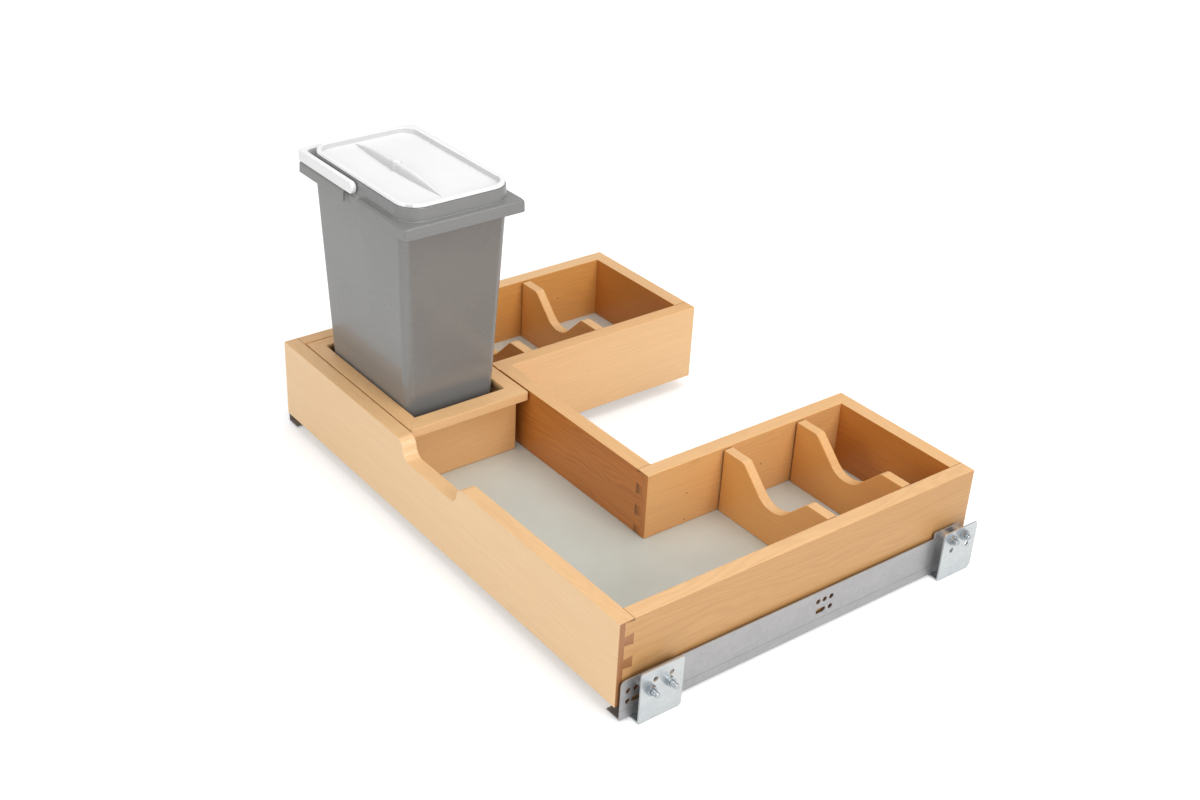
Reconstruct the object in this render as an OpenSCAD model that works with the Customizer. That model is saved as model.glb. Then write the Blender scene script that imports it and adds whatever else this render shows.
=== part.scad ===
// Pull-out vanity organizer: a U-shaped dovetailed drawer on two under-floor slides,
// with adjustable dividers and a lidded bin that stands in a holder at the left front.
// Millimetres. X to the right, Y from the front to the back, Z up.
// The origin is the middle of the object's footprint, on the undersides of the brackets.

/* [Drawer box] */
// Outside width of the drawer
drawer_w = 648; // [600:1:760]
// Outside depth of the drawer, front face to back face
drawer_d = 476; // [460:1:540]
// Height of the boards
drawer_h = 98.5; // [94:0.5:125]
// Thickness of every board
board_t = 18; // [16:0.5:19]
// Outside depth of the front tray
tray_d = 196; // [190:1:215]
// Outside width of each arm behind the tray
arm_w = 196; // [180:1:215]
// Height of the floor panel's underside above the boards' underside
floor_recess = 12.7; // [12:0.1:15]
// Thickness of the floor panel
floor_t = 6.3; // [5:0.1:9]
// Depth of the groove that holds the floor panel
groove_depth = 6; // [4:0.5:7]
// Width of the finger scoop in the front board, along its floor
scoop_flat = 80; // [60:1:110]
// Depth of the finger scoop
scoop_depth = 22.5; // [18:0.5:28]
// Radius of the scoop's rounded corners
scoop_r = 12.5; // [8:0.5:13]

/* [Dovetails] */
// Wood left uncut in front of the tails
lap_t = 7; // [5:0.5:9]
// Distance from one pin to the next
pin_pitch = 26.7; // [24:0.1:30]
// Height of the lowest whole pin's middle
pin_first = 22; // [18:0.5:26]
// Height of a pin at its wide end
pin_wide = 13.3; // [11:0.1:15]
// Height of a pin at the lap
pin_narrow = 9.9; // [8:0.1:11]

/* [Dividers] */
// Thickness of a divider
divider_t = 12.3; // [10:0.1:16]
// Height of the boards' top edge above a divider's
divider_drop = 1.5; // [0.5:0.5:6]
// Gap between a divider's end and the wall
divider_gap = 1.8; // [1:0.1:2.4]
// Depth of the dip in a divider's top edge
dip_depth = 35; // [28:0.5:40]
// Radius at the bottom of the dip
dip_foot_r = 30; // [20:1:36]
// Radius where the dip meets the top edge
dip_top_r = 8; // [4:0.5:12]
// Distance from the tray's back to the first pair of wire holes
wire_first = 38; // [30:0.5:45]
// Distance from the last pair of wire holes to the rear board
wire_last = 63.5; // [50:0.5:80]
// Height of the lower wire hole above the floor panel
wire_low = 5; // [4:0.5:8]
// Height between the two holes of a pair
wire_span = 34; // [26:0.5:38]
// Diameter of the divider wire
wire_d = 1.6; // [1.2:0.1:2]
// Distance of the wire's middle from the wall
wire_off = 3.3; // [2.8:0.1:4]
// Depth of the wire holes
wire_depth = 8; // [6:0.5:10]
// Depth of the slot in a divider's end
kerf_depth = 6; // [5:0.5:8]

/* [Bin holder] */
// Length of the holder's top, left to right
holder_w = 238.5; // [225:0.5:260]
// Gap between the holder's top and the left board
holder_side_gap = 0.5; // [0.3:0.1:2]
// Gap between the holder's top and the boards in front of it and behind it
holder_gap = 1.75; // [0.5:0.05:3]
// Width of the top's left rail
holder_left_rail = 17.1; // [15:0.1:24]
// Width of the top's right rail
holder_right_rail = 22.1; // [18:0.1:30]
// Width of the top's front and rear rails
holder_long_rail = 18.5; // [14:0.1:22]
// Thickness of the top's rails
holder_top_t = 11.5; // [9:0.5:16]
// Thickness of the holder's walls
holder_wall_t = 10.5; // [7:0.5:13]

/* [Bin] */
// Gap between the bin's body and the left rail of the holder's top
bin_left_gap = 9.7; // [8:0.1:14]
// Gap between the bin's body and the right rail of the holder's top
bin_right_gap = 17.2; // [12:0.1:20]
// Height of the bin's flange above the floor panel
bin_h = 311; // [260:1:340]
// Gap between the bin's long sides and the holder's top
bin_side_gap = 1.15; // [0.6:0.05:2]
// Lean of the bin's short walls, in degrees
bin_lean_x = 2.55; // [1:0.05:2.8]
// Lean of the bin's long walls, in degrees
bin_lean_y = 2.4; // [1:0.05:2.8]
// Thickness of the bin's walls
bin_wall = 2.3; // [1.8:0.1:3]
// Radius of the body's upright corners
bin_corner_r = 10; // [7:0.5:14]
// Flange beyond the body at the short ends
flange_over_x = 19.4; // [16:0.1:22]
// Flange beyond the body at the long sides
flange_over_y = 8.1; // [8:0.1:11]
// Height of the flange's skirt
skirt_h = 13.5; // [10:0.5:18]
// Radius of the flange's corners
flange_r = 4; // [3:0.5:8]
// Width of the ledge outside the collar at the short ends
ledge_x = 8.9; // [8.6:0.1:12]
// Width of the ledge outside the collar at the long sides
ledge_y = 6.8; // [6.4:0.1:9]
// Height of the collar above the flange
collar_h = 15; // [14:0.5:20]
// Radius of the collar's corners
collar_r = 26; // [14:0.5:28]
// How far the collar's walls lean in from its foot to its top
collar_draft = 1; // [0.5:0.1:3]
// Play between the bin and the floor, and between the lid, the bail and the bin
rest_play = 0.3; // [0.2:0.05:0.5]

/* [Lid and bail] */
// Height of the lid's border above the collar
lid_t = 3.4; // [2.4:0.1:5]
// Width of the lid's border
lid_border = 6; // [5:0.5:9]
// Depth of the lid's middle below its border
lid_recess = 6.5; // [4:0.5:8]
// Thickness of the lid's plate
lid_plate = 2; // [1.5:0.1:3]
// Step from the collar's outside to the lid's outside
lid_inset = 0.8; // [0.5:0.1:2]
// Mean gap between the fin's tips and the lid's border
fin_gap = 7.6; // [6.5:0.1:30]
// Width of the fin at its middle
fin_w = 10; // [6:0.5:12]
// Height of the fin
fin_h = 9.5; // [4:0.5:10]
// Distance of the fin from the lid's middle, towards the front
fin_off = 12; // [0:0.5:14]
// Diameter of the knob in the fin's middle
knob_d = 13; // [10:0.5:18]
// Height of the knob
knob_h = 11; // [10.5:0.5:13]
// Height of the bail's section
bail_h = 13.5; // [11:0.5:14]
// Thickness of the bail's legs
bail_leg = 6; // [4.5:0.1:6]
// Thickness of the bail's cross bar
bail_bar = 8; // [6:0.1:8.2]
// Diameter of the bail's pivot pins
bail_pin_d = 6; // [4:0.5:7]

/* [Slides] */
// Distance from the drawer's front face to the cabinet rails
slide_front = 3.5; // [2:0.5:10]
// Distance from the cabinet rails' rear end to the drawer's rear face
slide_back = 16; // [14:0.5:20]
// How much less than its own length a slide pulls out
pull_short = 26.5; // [24:0.5:90]
// How far the slides hang below the boards' underside
slide_drop = 14.5; // [13:0.5:18]
// Height of the cabinet rails' outer wall
rail_h = 46.5; // [38:0.5:50]
// Thickness of the rails' sheet
rail_t = 1.5; // [1.2:0.1:2]
// Gap between the drawer's side and the cabinet rails
side_gap = 3; // [2.4:0.1:5]
// Distance from the drawer's outer side to the middle of the track
track_x = 34; // [33.5:0.1:40]
// Inside width of the cabinet rails' track
track_w = 34; // [32:0.5:36]
// Width of the middle rails' lower plate
mid_low_w = 30; // [26:0.5:31]
// Width of the middle rails' upper plate
mid_up_w = 26; // [24:0.5:27]
// Width of the middle rails' neck
neck_w = 16; // [12:0.5:17]
// Inside width of the drawer rails
drawer_rail_w = 28; // [27.5:0.5:28.6]
// Width of the inward lips of both outer rails
lip_w = 5; // [3.5:0.1:5.2]
// Diameter of the lower rollers
low_roller_d = 4; // [3:0.1:4.4]
// Diameter of the upper rollers
up_roller_d = 6; // [5:0.1:6.6]
// Play above and below each roller, and between lips and plates
play = 0.3; // [0.2:0.05:0.5]

/* [Brackets] */
// Thickness of the brackets' sheet
bracket_t = 2; // [1.5:0.1:3]
// Space between the cabinet rails and the brackets' plates
bracket_space = 10; // [8:0.5:14]
// Height of the brackets' plates
bracket_h = 59.5; // [56:0.5:62]
// Depth of the front brackets
front_bracket_d = 52; // [48:0.5:60]
// Depth of the rear brackets
rear_bracket_d = 50; // [46:0.5:54]
// How far the brackets' feet reach under the slides
bracket_foot = 46; // [30:1:60]
// Diameter of the empty holes in the brackets
bracket_hole_d = 5.6; // [4:0.1:6]
// Diameter of the bolts
bolt_d = 6; // [4:0.5:6]
// How far the front bolts stand out of the brackets
front_stud = 13; // [8:0.5:18]
// How far the rear bolts stand out of the brackets
rear_stud = 9; // [7:0.5:14]
// Diameter of the round holes in the rails' outer wall
rail_hole_d = 6; // [4:0.1:6]

/* [Release locks] */
// Length of a lock's base, front to back
lock_len = 52; // [46:0.5:58]
// Width of a lock's base
lock_w = 46; // [42:0.5:56]
// Diameter of a lock's pivot post
post_d = 7; // [5:0.5:8]
// Reach of the lever's finger arm from its pivot
lever_reach = 46; // [38:0.5:52]
// Thickness of the lever
lever_t = 4; // [3:0.1:5]

/* [Hidden] */
$fn = 48;
fine = 96;
corner_fn = 32;
eps = 0.01;
past = 1;
tail_len = board_t - lap_t;
scoop_slope = 80;
dip_slope = 45;
drawer_z = bracket_t + slide_drop;
floor_top = floor_recess + floor_t;
inner_y = tray_d - board_t;
arm_in = arm_w - board_t;
wire_pairs = 4;
wire_pitch = (drawer_d - board_t - wire_last - wire_first - tray_d) / (wire_pairs - 1);

// Heights of the slide's members, from the boards' underside
rail_z = -slide_drop;
track_z = rail_z + rail_t;
mid_z = track_z + low_roller_d + 2 * play;
mid_low_z = mid_z + rail_t;
drawer_rail_z = floor_recess - rail_t;
mid_top = drawer_rail_z - up_roller_d - 2 * play;
track_lip_z = mid_low_z + play;
drawer_lip_z = mid_top - rail_t - play - rail_t;
notch_w = 36;

// Where the rails start and end, from the front face
slide_len = drawer_d - slide_back - slide_front;
mid_set = 26.5;
mid_back = 15;
mid_front = slide_front + mid_set;
mid_len = slide_len - mid_set - mid_back;
drawer_rail_set = 2;
drawer_rail_back = 6;
drawer_rail_front = board_t + drawer_rail_set;
drawer_rail_len = drawer_d - drawer_rail_back - drawer_rail_front;

// Cages, which stay inside both of their rails when the drawer is in and when it is pulled out
travel = slide_len - pull_short;
low_cage_nose = 11;
low_cage_tail = 7.5;
up_cage_nose = 4.5;
up_cage_tail = 10.5;
low_cage_front = slide_front + low_cage_nose + travel / 4;
low_cage_len = mid_front + mid_len - low_cage_tail - travel / 4 - low_cage_front;
up_cage_front = mid_front + up_cage_nose + travel / 4;
up_cage_len = drawer_rail_front + drawer_rail_len - up_cage_tail - travel / 4 - up_cage_front;
cage_t = 1.6;
cage_gap = 1;
roller_count = 4;
window_play = 0.4;

// Heights on the bin, from the boards' underside
holder_top_z = drawer_h - holder_top_t;
bin_z = floor_top + rest_play;
flange_z = floor_top + bin_h;
lean_x = tan(bin_lean_x);
lean_y = tan(bin_lean_y);
hole_x0 = board_t + holder_side_gap + holder_left_rail;
hole_x1 = board_t + holder_side_gap + holder_w - holder_right_rail;
hole_y0 = board_t + holder_gap + holder_long_rail;
hole_y1 = inner_y - holder_gap - holder_long_rail;
waist_x = (hole_x1 - hole_x0 - bin_left_gap - bin_right_gap) / 2;
bin_cx = hole_x0 + bin_left_gap + waist_x;
bin_cy = (hole_y0 + hole_y1) / 2;
waist_y = (hole_y1 - hole_y0) / 2 - bin_side_gap;
shoulder_z = flange_z - skirt_h;
flange_plate = 2.5;
flange_hx = body_hx(shoulder_z) + flange_over_x;
flange_hy = body_hy(shoulder_z) + flange_over_y;
collar_hx = flange_hx - ledge_x;
collar_hy = flange_hy - ledge_y;
lip_hx = collar_hx - collar_draft;
lip_hy = collar_hy - collar_draft;
collar_top = flange_z + collar_h;
bail_z = flange_z + rest_play;
bail_pivot_z = bail_z + bail_h / 2;
bail_r = 8;
fin_len = 2 * (lip_hx - lid_inset - lid_border - fin_gap);
fin_shift = 6;
pin_play = 0.06;
notch_front = 13;
notch_back = 16;
post_play = 0.08;

// Bracket and hole places, from the front face and the boards' underside
front_bracket_set = 13.5;
front_bracket_y = slide_front + front_bracket_set;
rear_bracket_y = drawer_d - rear_bracket_d;
plate_x = side_gap + rail_t + bracket_space;
front_bolts = [[10.6, 22.4], [33.6, 22.4]];
rear_bolts = [[10, 34.5], [28, 34.5]];
front_holes = [[17.4, 30.8], [37, 30.8]];
rear_holes = [[14, 18.5], [37, 18.5]];
rail_holes = [[8.7, 18.3], [17.9, 18.3], [8.7, 6], [253.1, 19.5], [262.25, 19.5], [271.4, 19.5], [271.4, 7]];
rail_slots = [[19.7, 6], [258, 7]];
slot_len = 13.5;
ear_h = 7.5;
ear_len = 36;
head_d = 9.5;
head_t = 1.2;
nut_af = 10;
nut_t = 5;
spacer_d = 10;
bolt_play = 0.1;

// Release lock places
lock_x = track_x + drawer_rail_w / 2 + rail_t + 2;
lock_plate = 3.4;
lever_z = floor_recess - lock_plate - play - lever_t;
post_in = [12, 22];
post_x = lock_x + post_in[0];
post_y = board_t + post_in[1];
latch_y = 26;
latch_in = 1.2;
lever_w = 8;
hub_rim = 3;
pad_d = 14;
pad_h = 3;
lock_screw_d = 3.5;
screw_far_in = [10, 9];
screw_near_in = [5, 7];

wood = "burlywood";
floor_colour = "lightgray";
plated = "silver";
zinc = "lightsteelblue";
nylon = "whitesmoke";

// Half length and half width of the bin's body at a height
function body_hx(z) = waist_x + lean_x * (z - drawer_h);
function body_hy(z) = waist_y + lean_y * (z - drawer_h);
// Distance of a pair of wire holes from the front face
function wire_y(i) = tray_d + wire_first + i * wire_pitch;

// Puts the drawer's own corner, at its left front underside, where the drawer stands
module in_drawer() {
    translate([-drawer_w / 2, -drawer_d / 2, drawer_z]) children();
}

// The same for the drawer's right half, as the mirror image of the left half
module in_drawer_right() {
    mirror([1, 0, 0]) in_drawer() children();
}

module box(x0, x1, y0, y1, z0, z1) {
    translate([x0, y0, z0]) cube([x1 - x0, y1 - y0, z1 - z0]);
}

// Rectangle with round corners, centred
module round_rect(hx, hy, r) {
    square([2 * (hx - r), 2 * hy], center = true);
    square([2 * hx, 2 * (hy - r)], center = true);
    for (sx = [-1, 1], sy = [-1, 1]) {
        translate([sx * (hx - r), sy * (hy - r)]) circle(r);
    }
}

// Outline cut out of a board's top edge: a flat or round bottom, two slopes and round corners.
// Its top line lies on y = 0 and its depth goes down.
module dip_outline(half_flat, depth, slope, foot_r, top_r) {
    run = (depth - (foot_r + top_r) * (1 - cos(slope))) / sin(slope);
    low_x = half_flat + foot_r * sin(slope);
    low_y = foot_r * (1 - cos(slope)) - depth;
    high_x = low_x + run * cos(slope);
    high_y = low_y + run * sin(slope);
    top_x = high_x + top_r * sin(slope);
    difference() {
        polygon([
            [-top_x, past], [-top_x, 0], [-high_x, high_y], [-low_x, low_y], [-half_flat, -depth],
            [half_flat, -depth], [low_x, low_y], [high_x, high_y], [top_x, 0], [top_x, past]
        ]);
        for (s = [-1, 1]) {
            translate([s * top_x, -top_r]) circle(top_r + eps, $fn = fine);
        }
    }
    for (s = [-1, 1]) {
        translate([s * half_flat, foot_r - depth]) circle(foot_r + eps, $fn = fine);
    }
}

// Pins of one dovetail joint. Local X runs from the pins' wide ends to the lap.
module pins() {
    intersection() {
        cube([tail_len, board_t, drawer_h]);
        for (k = [-1 : ceil(drawer_h / pin_pitch)]) {
            translate([0, board_t, pin_first + k * pin_pitch])
                rotate([90, 0, 0])
                    linear_extrude(board_t)
                        polygon([
                            [0, -pin_wide / 2], [tail_len, -pin_narrow / 2],
                            [tail_len, pin_narrow / 2], [0, pin_wide / 2]
                        ]);
        }
    }
}

// Tails of one dovetail joint
module tails() {
    difference() {
        cube([tail_len, board_t, drawer_h]);
        pins();
    }
}

module joint_at(x, y, turn) {
    translate([x, y, 0]) rotate([0, 0, turn]) children();
}

// U-shaped floor panel, with the rim that sits in the boards' grooves
module floor_solid() {
    edge = board_t - groove_depth;
    inner = arm_w - edge;
    back = tray_d - edge;
    translate([0, 0, floor_recess])
        linear_extrude(floor_t)
            polygon([
                [edge, edge], [drawer_w - edge, edge], [drawer_w - edge, drawer_d - edge],
                [drawer_w - inner, drawer_d - edge], [drawer_w - inner, back], [inner, back],
                [inner, drawer_d - edge], [edge, drawer_d - edge]
            ]);
}

module front_board() {
    color(wood) in_drawer() difference() {
        box(0, drawer_w, 0, board_t, 0, drawer_h);
        translate([drawer_w / 2, board_t + past, drawer_h])
            rotate([90, 0, 0])
                linear_extrude(board_t + 2 * past)
                    dip_outline(scoop_flat / 2, scoop_depth, scoop_slope, scoop_r, scoop_r);
        joint_at(0, board_t, -90) tails();
        joint_at(drawer_w - board_t, board_t, -90) tails();
        floor_solid();
    }
}

// Wire holes along one wall. The face lies at x, and the holes go into the wood along side.
module wire_holes(x, side) {
    for (i = [0 : wire_pairs - 1], z = [0, wire_span]) {
        translate([x - side * past, wire_y(i), floor_top + wire_low + z])
            rotate([0, side * 90, 0])
                cylinder(d = wire_d + 0.2, h = wire_depth + past);
    }
}

module side_board() {
    difference() {
        union() {
            box(0, board_t, board_t, drawer_d, 0, drawer_h);
            joint_at(0, board_t, -90) tails();
        }
        joint_at(board_t, drawer_d, 180) tails();
        floor_solid();
        wire_holes(board_t, -1);
    }
}

module arm_board() {
    difference() {
        box(arm_in, arm_w, inner_y, drawer_d, 0, drawer_h);
        joint_at(arm_w, tray_d, 180) tails();
        joint_at(arm_in, drawer_d - board_t, 0) tails();
        floor_solid();
        wire_holes(arm_in, 1);
    }
}

module rear_board() {
    difference() {
        union() {
            box(board_t, arm_in, drawer_d - board_t, drawer_d, 0, drawer_h);
            joint_at(board_t, drawer_d, 180) tails();
            joint_at(arm_in, drawer_d - board_t, 0) tails();
        }
        floor_solid();
        box(board_t - eps, board_t + notch_w, drawer_d - board_t - past, drawer_d + past, -past, floor_recess);
    }
}

module inner_back_board() {
    color(wood) in_drawer() difference() {
        union() {
            box(arm_w, drawer_w - arm_w, inner_y, tray_d, 0, drawer_h);
            joint_at(arm_w, tray_d, 180) tails();
            joint_at(drawer_w - arm_w, inner_y, 0) tails();
        }
        floor_solid();
    }
}

module floor_panel() {
    color(floor_colour) difference() {
        in_drawer() floor_solid();
        in_drawer() lock_screw_shapes();
        in_drawer_right() lock_screw_shapes();
    }
}

module left_side_board() {
    color(wood) in_drawer() side_board();
}

module right_side_board() {
    color(wood) in_drawer_right() side_board();
}

module left_arm_board() {
    color(wood) in_drawer() arm_board();
}

module right_arm_board() {
    color(wood) in_drawer_right() arm_board();
}

module left_rear_board() {
    color(wood) in_drawer() rear_board();
}

module right_rear_board() {
    color(wood) in_drawer_right() rear_board();
}

// Divider across an arm at wire pair i, with a slot in each end for its wires
module divider(i) {
    x0 = board_t + divider_gap;
    x1 = arm_in - divider_gap;
    top = drawer_h - divider_drop;
    kerf_top = floor_top + wire_low + wire_span + 3;
    difference() {
        box(x0, x1, wire_y(i) - divider_t / 2, wire_y(i) + divider_t / 2, floor_top, top);
        translate([(x0 + x1) / 2, wire_y(i) + divider_t / 2 + past, top])
            rotate([90, 0, 0])
                linear_extrude(divider_t + 2 * past)
                    dip_outline(0, dip_depth, dip_slope, dip_foot_r, dip_top_r);
        for (x = [x0 - past, x1 - kerf_depth]) {
            box(x, x + kerf_depth + past, wire_y(i) - wire_d / 2 - play, wire_y(i) + wire_d / 2 + play,
                floor_top - past, kerf_top);
        }
    }
}

// Bent wire whose two ends sit in a pair of wall holes
module wire(x, side, i) {
    low = floor_top + wire_low;
    reach = wire_off + wire_depth - 1;
    translate([x - side * wire_off, wire_y(i), low]) {
        translate([0, 0, -wire_d / 2]) cylinder(d = wire_d, h = wire_span + wire_d);
        for (z = [0, wire_span]) {
            translate([0, 0, z]) rotate([0, side * 90, 0]) cylinder(d = wire_d - 2 * eps, h = reach);
        }
    }
}

module wires(pairs) {
    for (i = pairs) {
        wire(board_t, -1, i);
        wire(arm_in, 1, i);
    }
}

module left_front_divider() {
    color(wood) in_drawer() divider(0);
}

module left_rear_divider() {
    color(wood) in_drawer() divider(2);
}

module right_front_divider() {
    color(wood) in_drawer_right() divider(1);
}

module right_rear_divider() {
    color(wood) in_drawer_right() divider(3);
}

module divider_wires() {
    color(plated) {
        in_drawer() wires([0, 2]);
        in_drawer_right() wires([1, 3]);
    }
}

// Corners of the holder's top and of its hole, counted round from the left front
holder_x0 = board_t + holder_side_gap;
holder_x1 = holder_x0 + holder_w;
holder_y0 = board_t + holder_gap;
holder_y1 = inner_y - holder_gap;
top_corners = [[holder_x0, holder_y0], [holder_x1, holder_y0], [holder_x1, holder_y1], [holder_x0, holder_y1]];
hole_corners = [[hole_x0, hole_y0], [hole_x1, hole_y0], [hole_x1, hole_y1], [hole_x0, hole_y1]];

// Mitred rail of the holder's top, from corner i to the next one
module holder_rail(i) {
    j = (i + 1) % 4;
    color(wood) in_drawer() translate([0, 0, holder_top_z])
        linear_extrude(holder_top_t)
            polygon([top_corners[i], top_corners[j], hole_corners[j], hole_corners[i]]);
}

module holder_front_rail() {
    holder_rail(0);
}

module holder_right_rail_piece() {
    holder_rail(1);
}

module holder_rear_rail() {
    holder_rail(2);
}

module holder_left_rail_piece() {
    holder_rail(3);
}

module holder_wall(x0, x1, y0, y1) {
    color(wood) in_drawer() box(x0, x1, y0, y1, floor_top, holder_top_z);
}

module holder_front_wall() {
    holder_wall(hole_x0, hole_x1, hole_y0 - holder_wall_t, hole_y0);
}

module holder_rear_wall() {
    holder_wall(hole_x0, hole_x1, hole_y1, hole_y1 + holder_wall_t);
}

module holder_left_wall() {
    holder_wall(hole_x0 - holder_wall_t, hole_x0, hole_y0 - holder_wall_t, hole_y1 + holder_wall_t);
}

module holder_right_wall() {
    holder_wall(hole_x1, hole_x1 + holder_wall_t, hole_y0 - holder_wall_t, hole_y1 + holder_wall_t);
}

// Round-cornered slab of the bin's body, used as the ends of its tapered walls
module slab(hx, hy, r, z) {
    translate([bin_cx, bin_cy, z])
        linear_extrude(eps)
            round_rect(hx, hy, r, $fn = corner_fn);
}

module tapered(hx0, hy0, z0, hx1, hy1, z1, r) {
    hull() {
        slab(hx0, hy0, r, z0);
        slab(hx1, hy1, r, z1 - eps);
    }
}

module bin_straight(hx, hy, r, z0, z1) {
    translate([bin_cx, bin_cy, z0]) linear_extrude(z1 - z0) round_rect(hx, hy, r);
}

module bin_body() {
    in_r = bin_corner_r - bin_wall;
    top_x = body_hx(shoulder_z);
    top_y = body_hy(shoulder_z);
    plate_z = flange_z - flange_plate;
    color("gray") in_drawer() difference() {
        union() {
            tapered(body_hx(bin_z), body_hy(bin_z), bin_z, top_x, top_y, shoulder_z, bin_corner_r);
            tapered(top_x, top_y, shoulder_z, collar_hx, collar_hy, plate_z, bin_corner_r);
            bin_straight(flange_hx, flange_hy, flange_r, shoulder_z, flange_z);
            tapered(collar_hx, collar_hy, flange_z - eps, lip_hx, lip_hy, collar_top, collar_r);
        }
        difference() {
            bin_straight(flange_hx - bin_wall, flange_hy - bin_wall, flange_r - bin_wall + 1,
                shoulder_z - past, plate_z);
            tapered(top_x, top_y, shoulder_z - past, collar_hx, collar_hy, plate_z + past, bin_corner_r);
        }
        tapered(body_hx(bin_z) - bin_wall, body_hy(bin_z) - bin_wall, bin_z + bin_wall,
            top_x - bin_wall, top_y - bin_wall, shoulder_z, in_r);
        tapered(top_x - bin_wall, top_y - bin_wall, shoulder_z - eps,
            lip_hx - bin_wall, lip_hy - bin_wall, plate_z, in_r);
        bin_straight(lip_hx - bin_wall, lip_hy - bin_wall, collar_r - bin_wall,
            plate_z - eps, collar_top + past);
        for (s = [-1, 1]) {
            translate([bin_cx, bin_cy + s * (flange_hy - (flange_over_y - 2) / 2 + past / 2), 0])
                translate([-notch_front, -(flange_over_y - 2 + past) / 2, shoulder_z - past])
                    cube([notch_front + notch_back, flange_over_y - 2 + past, skirt_h + 2 * past]);
        }
        translate([bin_cx, bin_cy, bail_pivot_z])
            rotate([90, 0, 0])
                cylinder(d = bail_pin_d + 2 * pin_play, h = 2 * flange_hy, center = true);
    }
}

module bin_lid() {
    low = collar_top + rest_play;
    top = low + lid_t;
    bed = top - lid_recess;
    hx = lip_hx - lid_inset;
    hy = lip_hy - lid_inset;
    r = collar_r - lid_inset;
    plug = bin_wall + rest_play;
    lens_r = (fin_len * fin_len / 4 + fin_w * fin_w / 4) / fin_w;
    color("white") in_drawer() {
        difference() {
            union() {
                bin_straight(hx, hy, r, low, top);
                bin_straight(lip_hx - plug, lip_hy - plug, collar_r - plug, bed - lid_plate, top);
            }
            bin_straight(hx - lid_border, hy - lid_border, r - lid_border, bed, top + past);
        }
        translate([bin_cx - fin_shift, bin_cy - fin_off, bed - eps]) {
            linear_extrude(fin_h) intersection() {
                translate([0, lens_r - fin_w / 2]) circle(lens_r, $fn = 360);
                translate([0, fin_w / 2 - lens_r]) circle(lens_r, $fn = 360);
            }
            cylinder(d = knob_d, h = knob_h);
        }
    }
}

module bin_bail() {
    leg_x = flange_hx - bail_h / 2;
    color("white") in_drawer() translate([bin_cx, bin_cy, bail_z]) {
        difference() {
            union() {
                for (s = [-1, 1]) {
                    translate([0, s * (flange_hy - bail_leg / 2), bail_h / 2]) {
                        rotate([90, 0, 0]) cylinder(d = bail_h, h = bail_leg, center = true);
                        translate([-leg_x / 2, 0, 0]) cube([leg_x, bail_leg, bail_h], center = true);
                    }
                }
                linear_extrude(bail_h) intersection() {
                    round_rect(flange_hx, flange_hy, flange_r);
                    translate([-flange_hx, -flange_hy]) square([2 * bail_bar, 2 * flange_hy]);
                }
            }
            translate([0, 0, -past])
                linear_extrude(bail_h + 2 * past)
                    round_rect(flange_hx - bail_bar, flange_hy - bail_leg, bail_r);
        }
        for (s = [-1, 1]) {
            translate([0, s * (flange_hy - bail_leg / 2), bail_h / 2])
                rotate([s * 90, 0, 0])
                    cylinder(d = bail_pin_d, h = bail_leg / 2 + ledge_y - bail_leg + bin_wall);
        }
    }
}

// Cabinet rail: an outer wall, a bottom flange and a track with inward lips
module cabinet_rail() {
    y0 = slide_front;
    y1 = slide_front + slide_len;
    wall = side_gap + rail_t;
    top = rail_z + rail_h;
    out = track_w / 2 + rail_t;
    nose = 10.5;
    corner = 6;
    difference() {
        union() {
            translate([-wall, 0, 0]) rotate([90, 0, 90]) linear_extrude(rail_t) {
                translate([y0 + corner, rail_z]) square([slide_len - corner, rail_h]);
                translate([y0, rail_z]) square([corner, rail_h - corner]);
                translate([y0 + corner, top - corner]) circle(corner);
                translate([y1 - ear_len, top]) square([ear_len, ear_h]);
            }
            box(-wall, track_x - out, y0, y1, rail_z, track_z);
            box(track_x - out, track_x + out, y0 + nose, y1, rail_z, track_z);
            for (s = [-1, 1]) {
                mirror_about(track_x, s) {
                    box(track_x + out - rail_t, track_x + out, y0 + nose, y1, rail_z, track_lip_z + rail_t);
                    box(track_x + out - rail_t - lip_w, track_x + out, y0 + nose, y1,
                        track_lip_z, track_lip_z + rail_t);
                }
            }
        }
        for (h = rail_holes) {
            wall_hole(y0 + h[0], h[1], rail_hole_d);
        }
        for (h = rail_slots) {
            for (e = [-1, 1]) {
                wall_hole(y0 + h[0] + e * (slot_len - rail_hole_d) / 2, h[1], rail_hole_d);
            }
            box(-wall - past, past - side_gap, y0 + h[0] - (slot_len - rail_hole_d) / 2,
                y0 + h[0] + (slot_len - rail_hole_d) / 2, h[1] - rail_hole_d / 2, h[1] + rail_hole_d / 2);
        }
        for (b = bolt_list) {
            wall_hole(b[0], b[1], bolt_d + 2 * bolt_play);
        }
    }
}

module mirror_about(x, s) {
    if (s > 0) {
        children();
    } else {
        translate([2 * x, 0, 0]) mirror([1, 0, 0]) children();
    }
}

// Round hole through the rail's outer wall
module wall_hole(y, z, d) {
    translate([-side_gap - rail_t - past, y, z])
        rotate([0, 90, 0])
            cylinder(d = d, h = rail_t + 2 * past);
}

// Bolts of one side: distance from the front, height, and how far each stands out
bolt_list = concat(
    [for (b = front_bolts) [front_bracket_y + b[0], b[1], front_stud]],
    [for (b = rear_bolts) [rear_bracket_y + b[0], b[1], rear_stud]]
);

// Middle rail: two plates joined by a hollow neck
module middle_rail() {
    y0 = mid_front;
    y1 = mid_front + mid_len;
    for (s = [-1, 1]) {
        mirror_about(track_x, s) {
            box(track_x + neck_w / 2 - rail_t, track_x + neck_w / 2, y0, y1, mid_low_z - eps, mid_top - rail_t + eps);
        }
    }
    box(track_x - mid_low_w / 2, track_x + mid_low_w / 2, y0, y1, mid_z, mid_low_z);
    box(track_x - mid_up_w / 2, track_x + mid_up_w / 2, y0, y1, mid_top - rail_t, mid_top);
}

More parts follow.
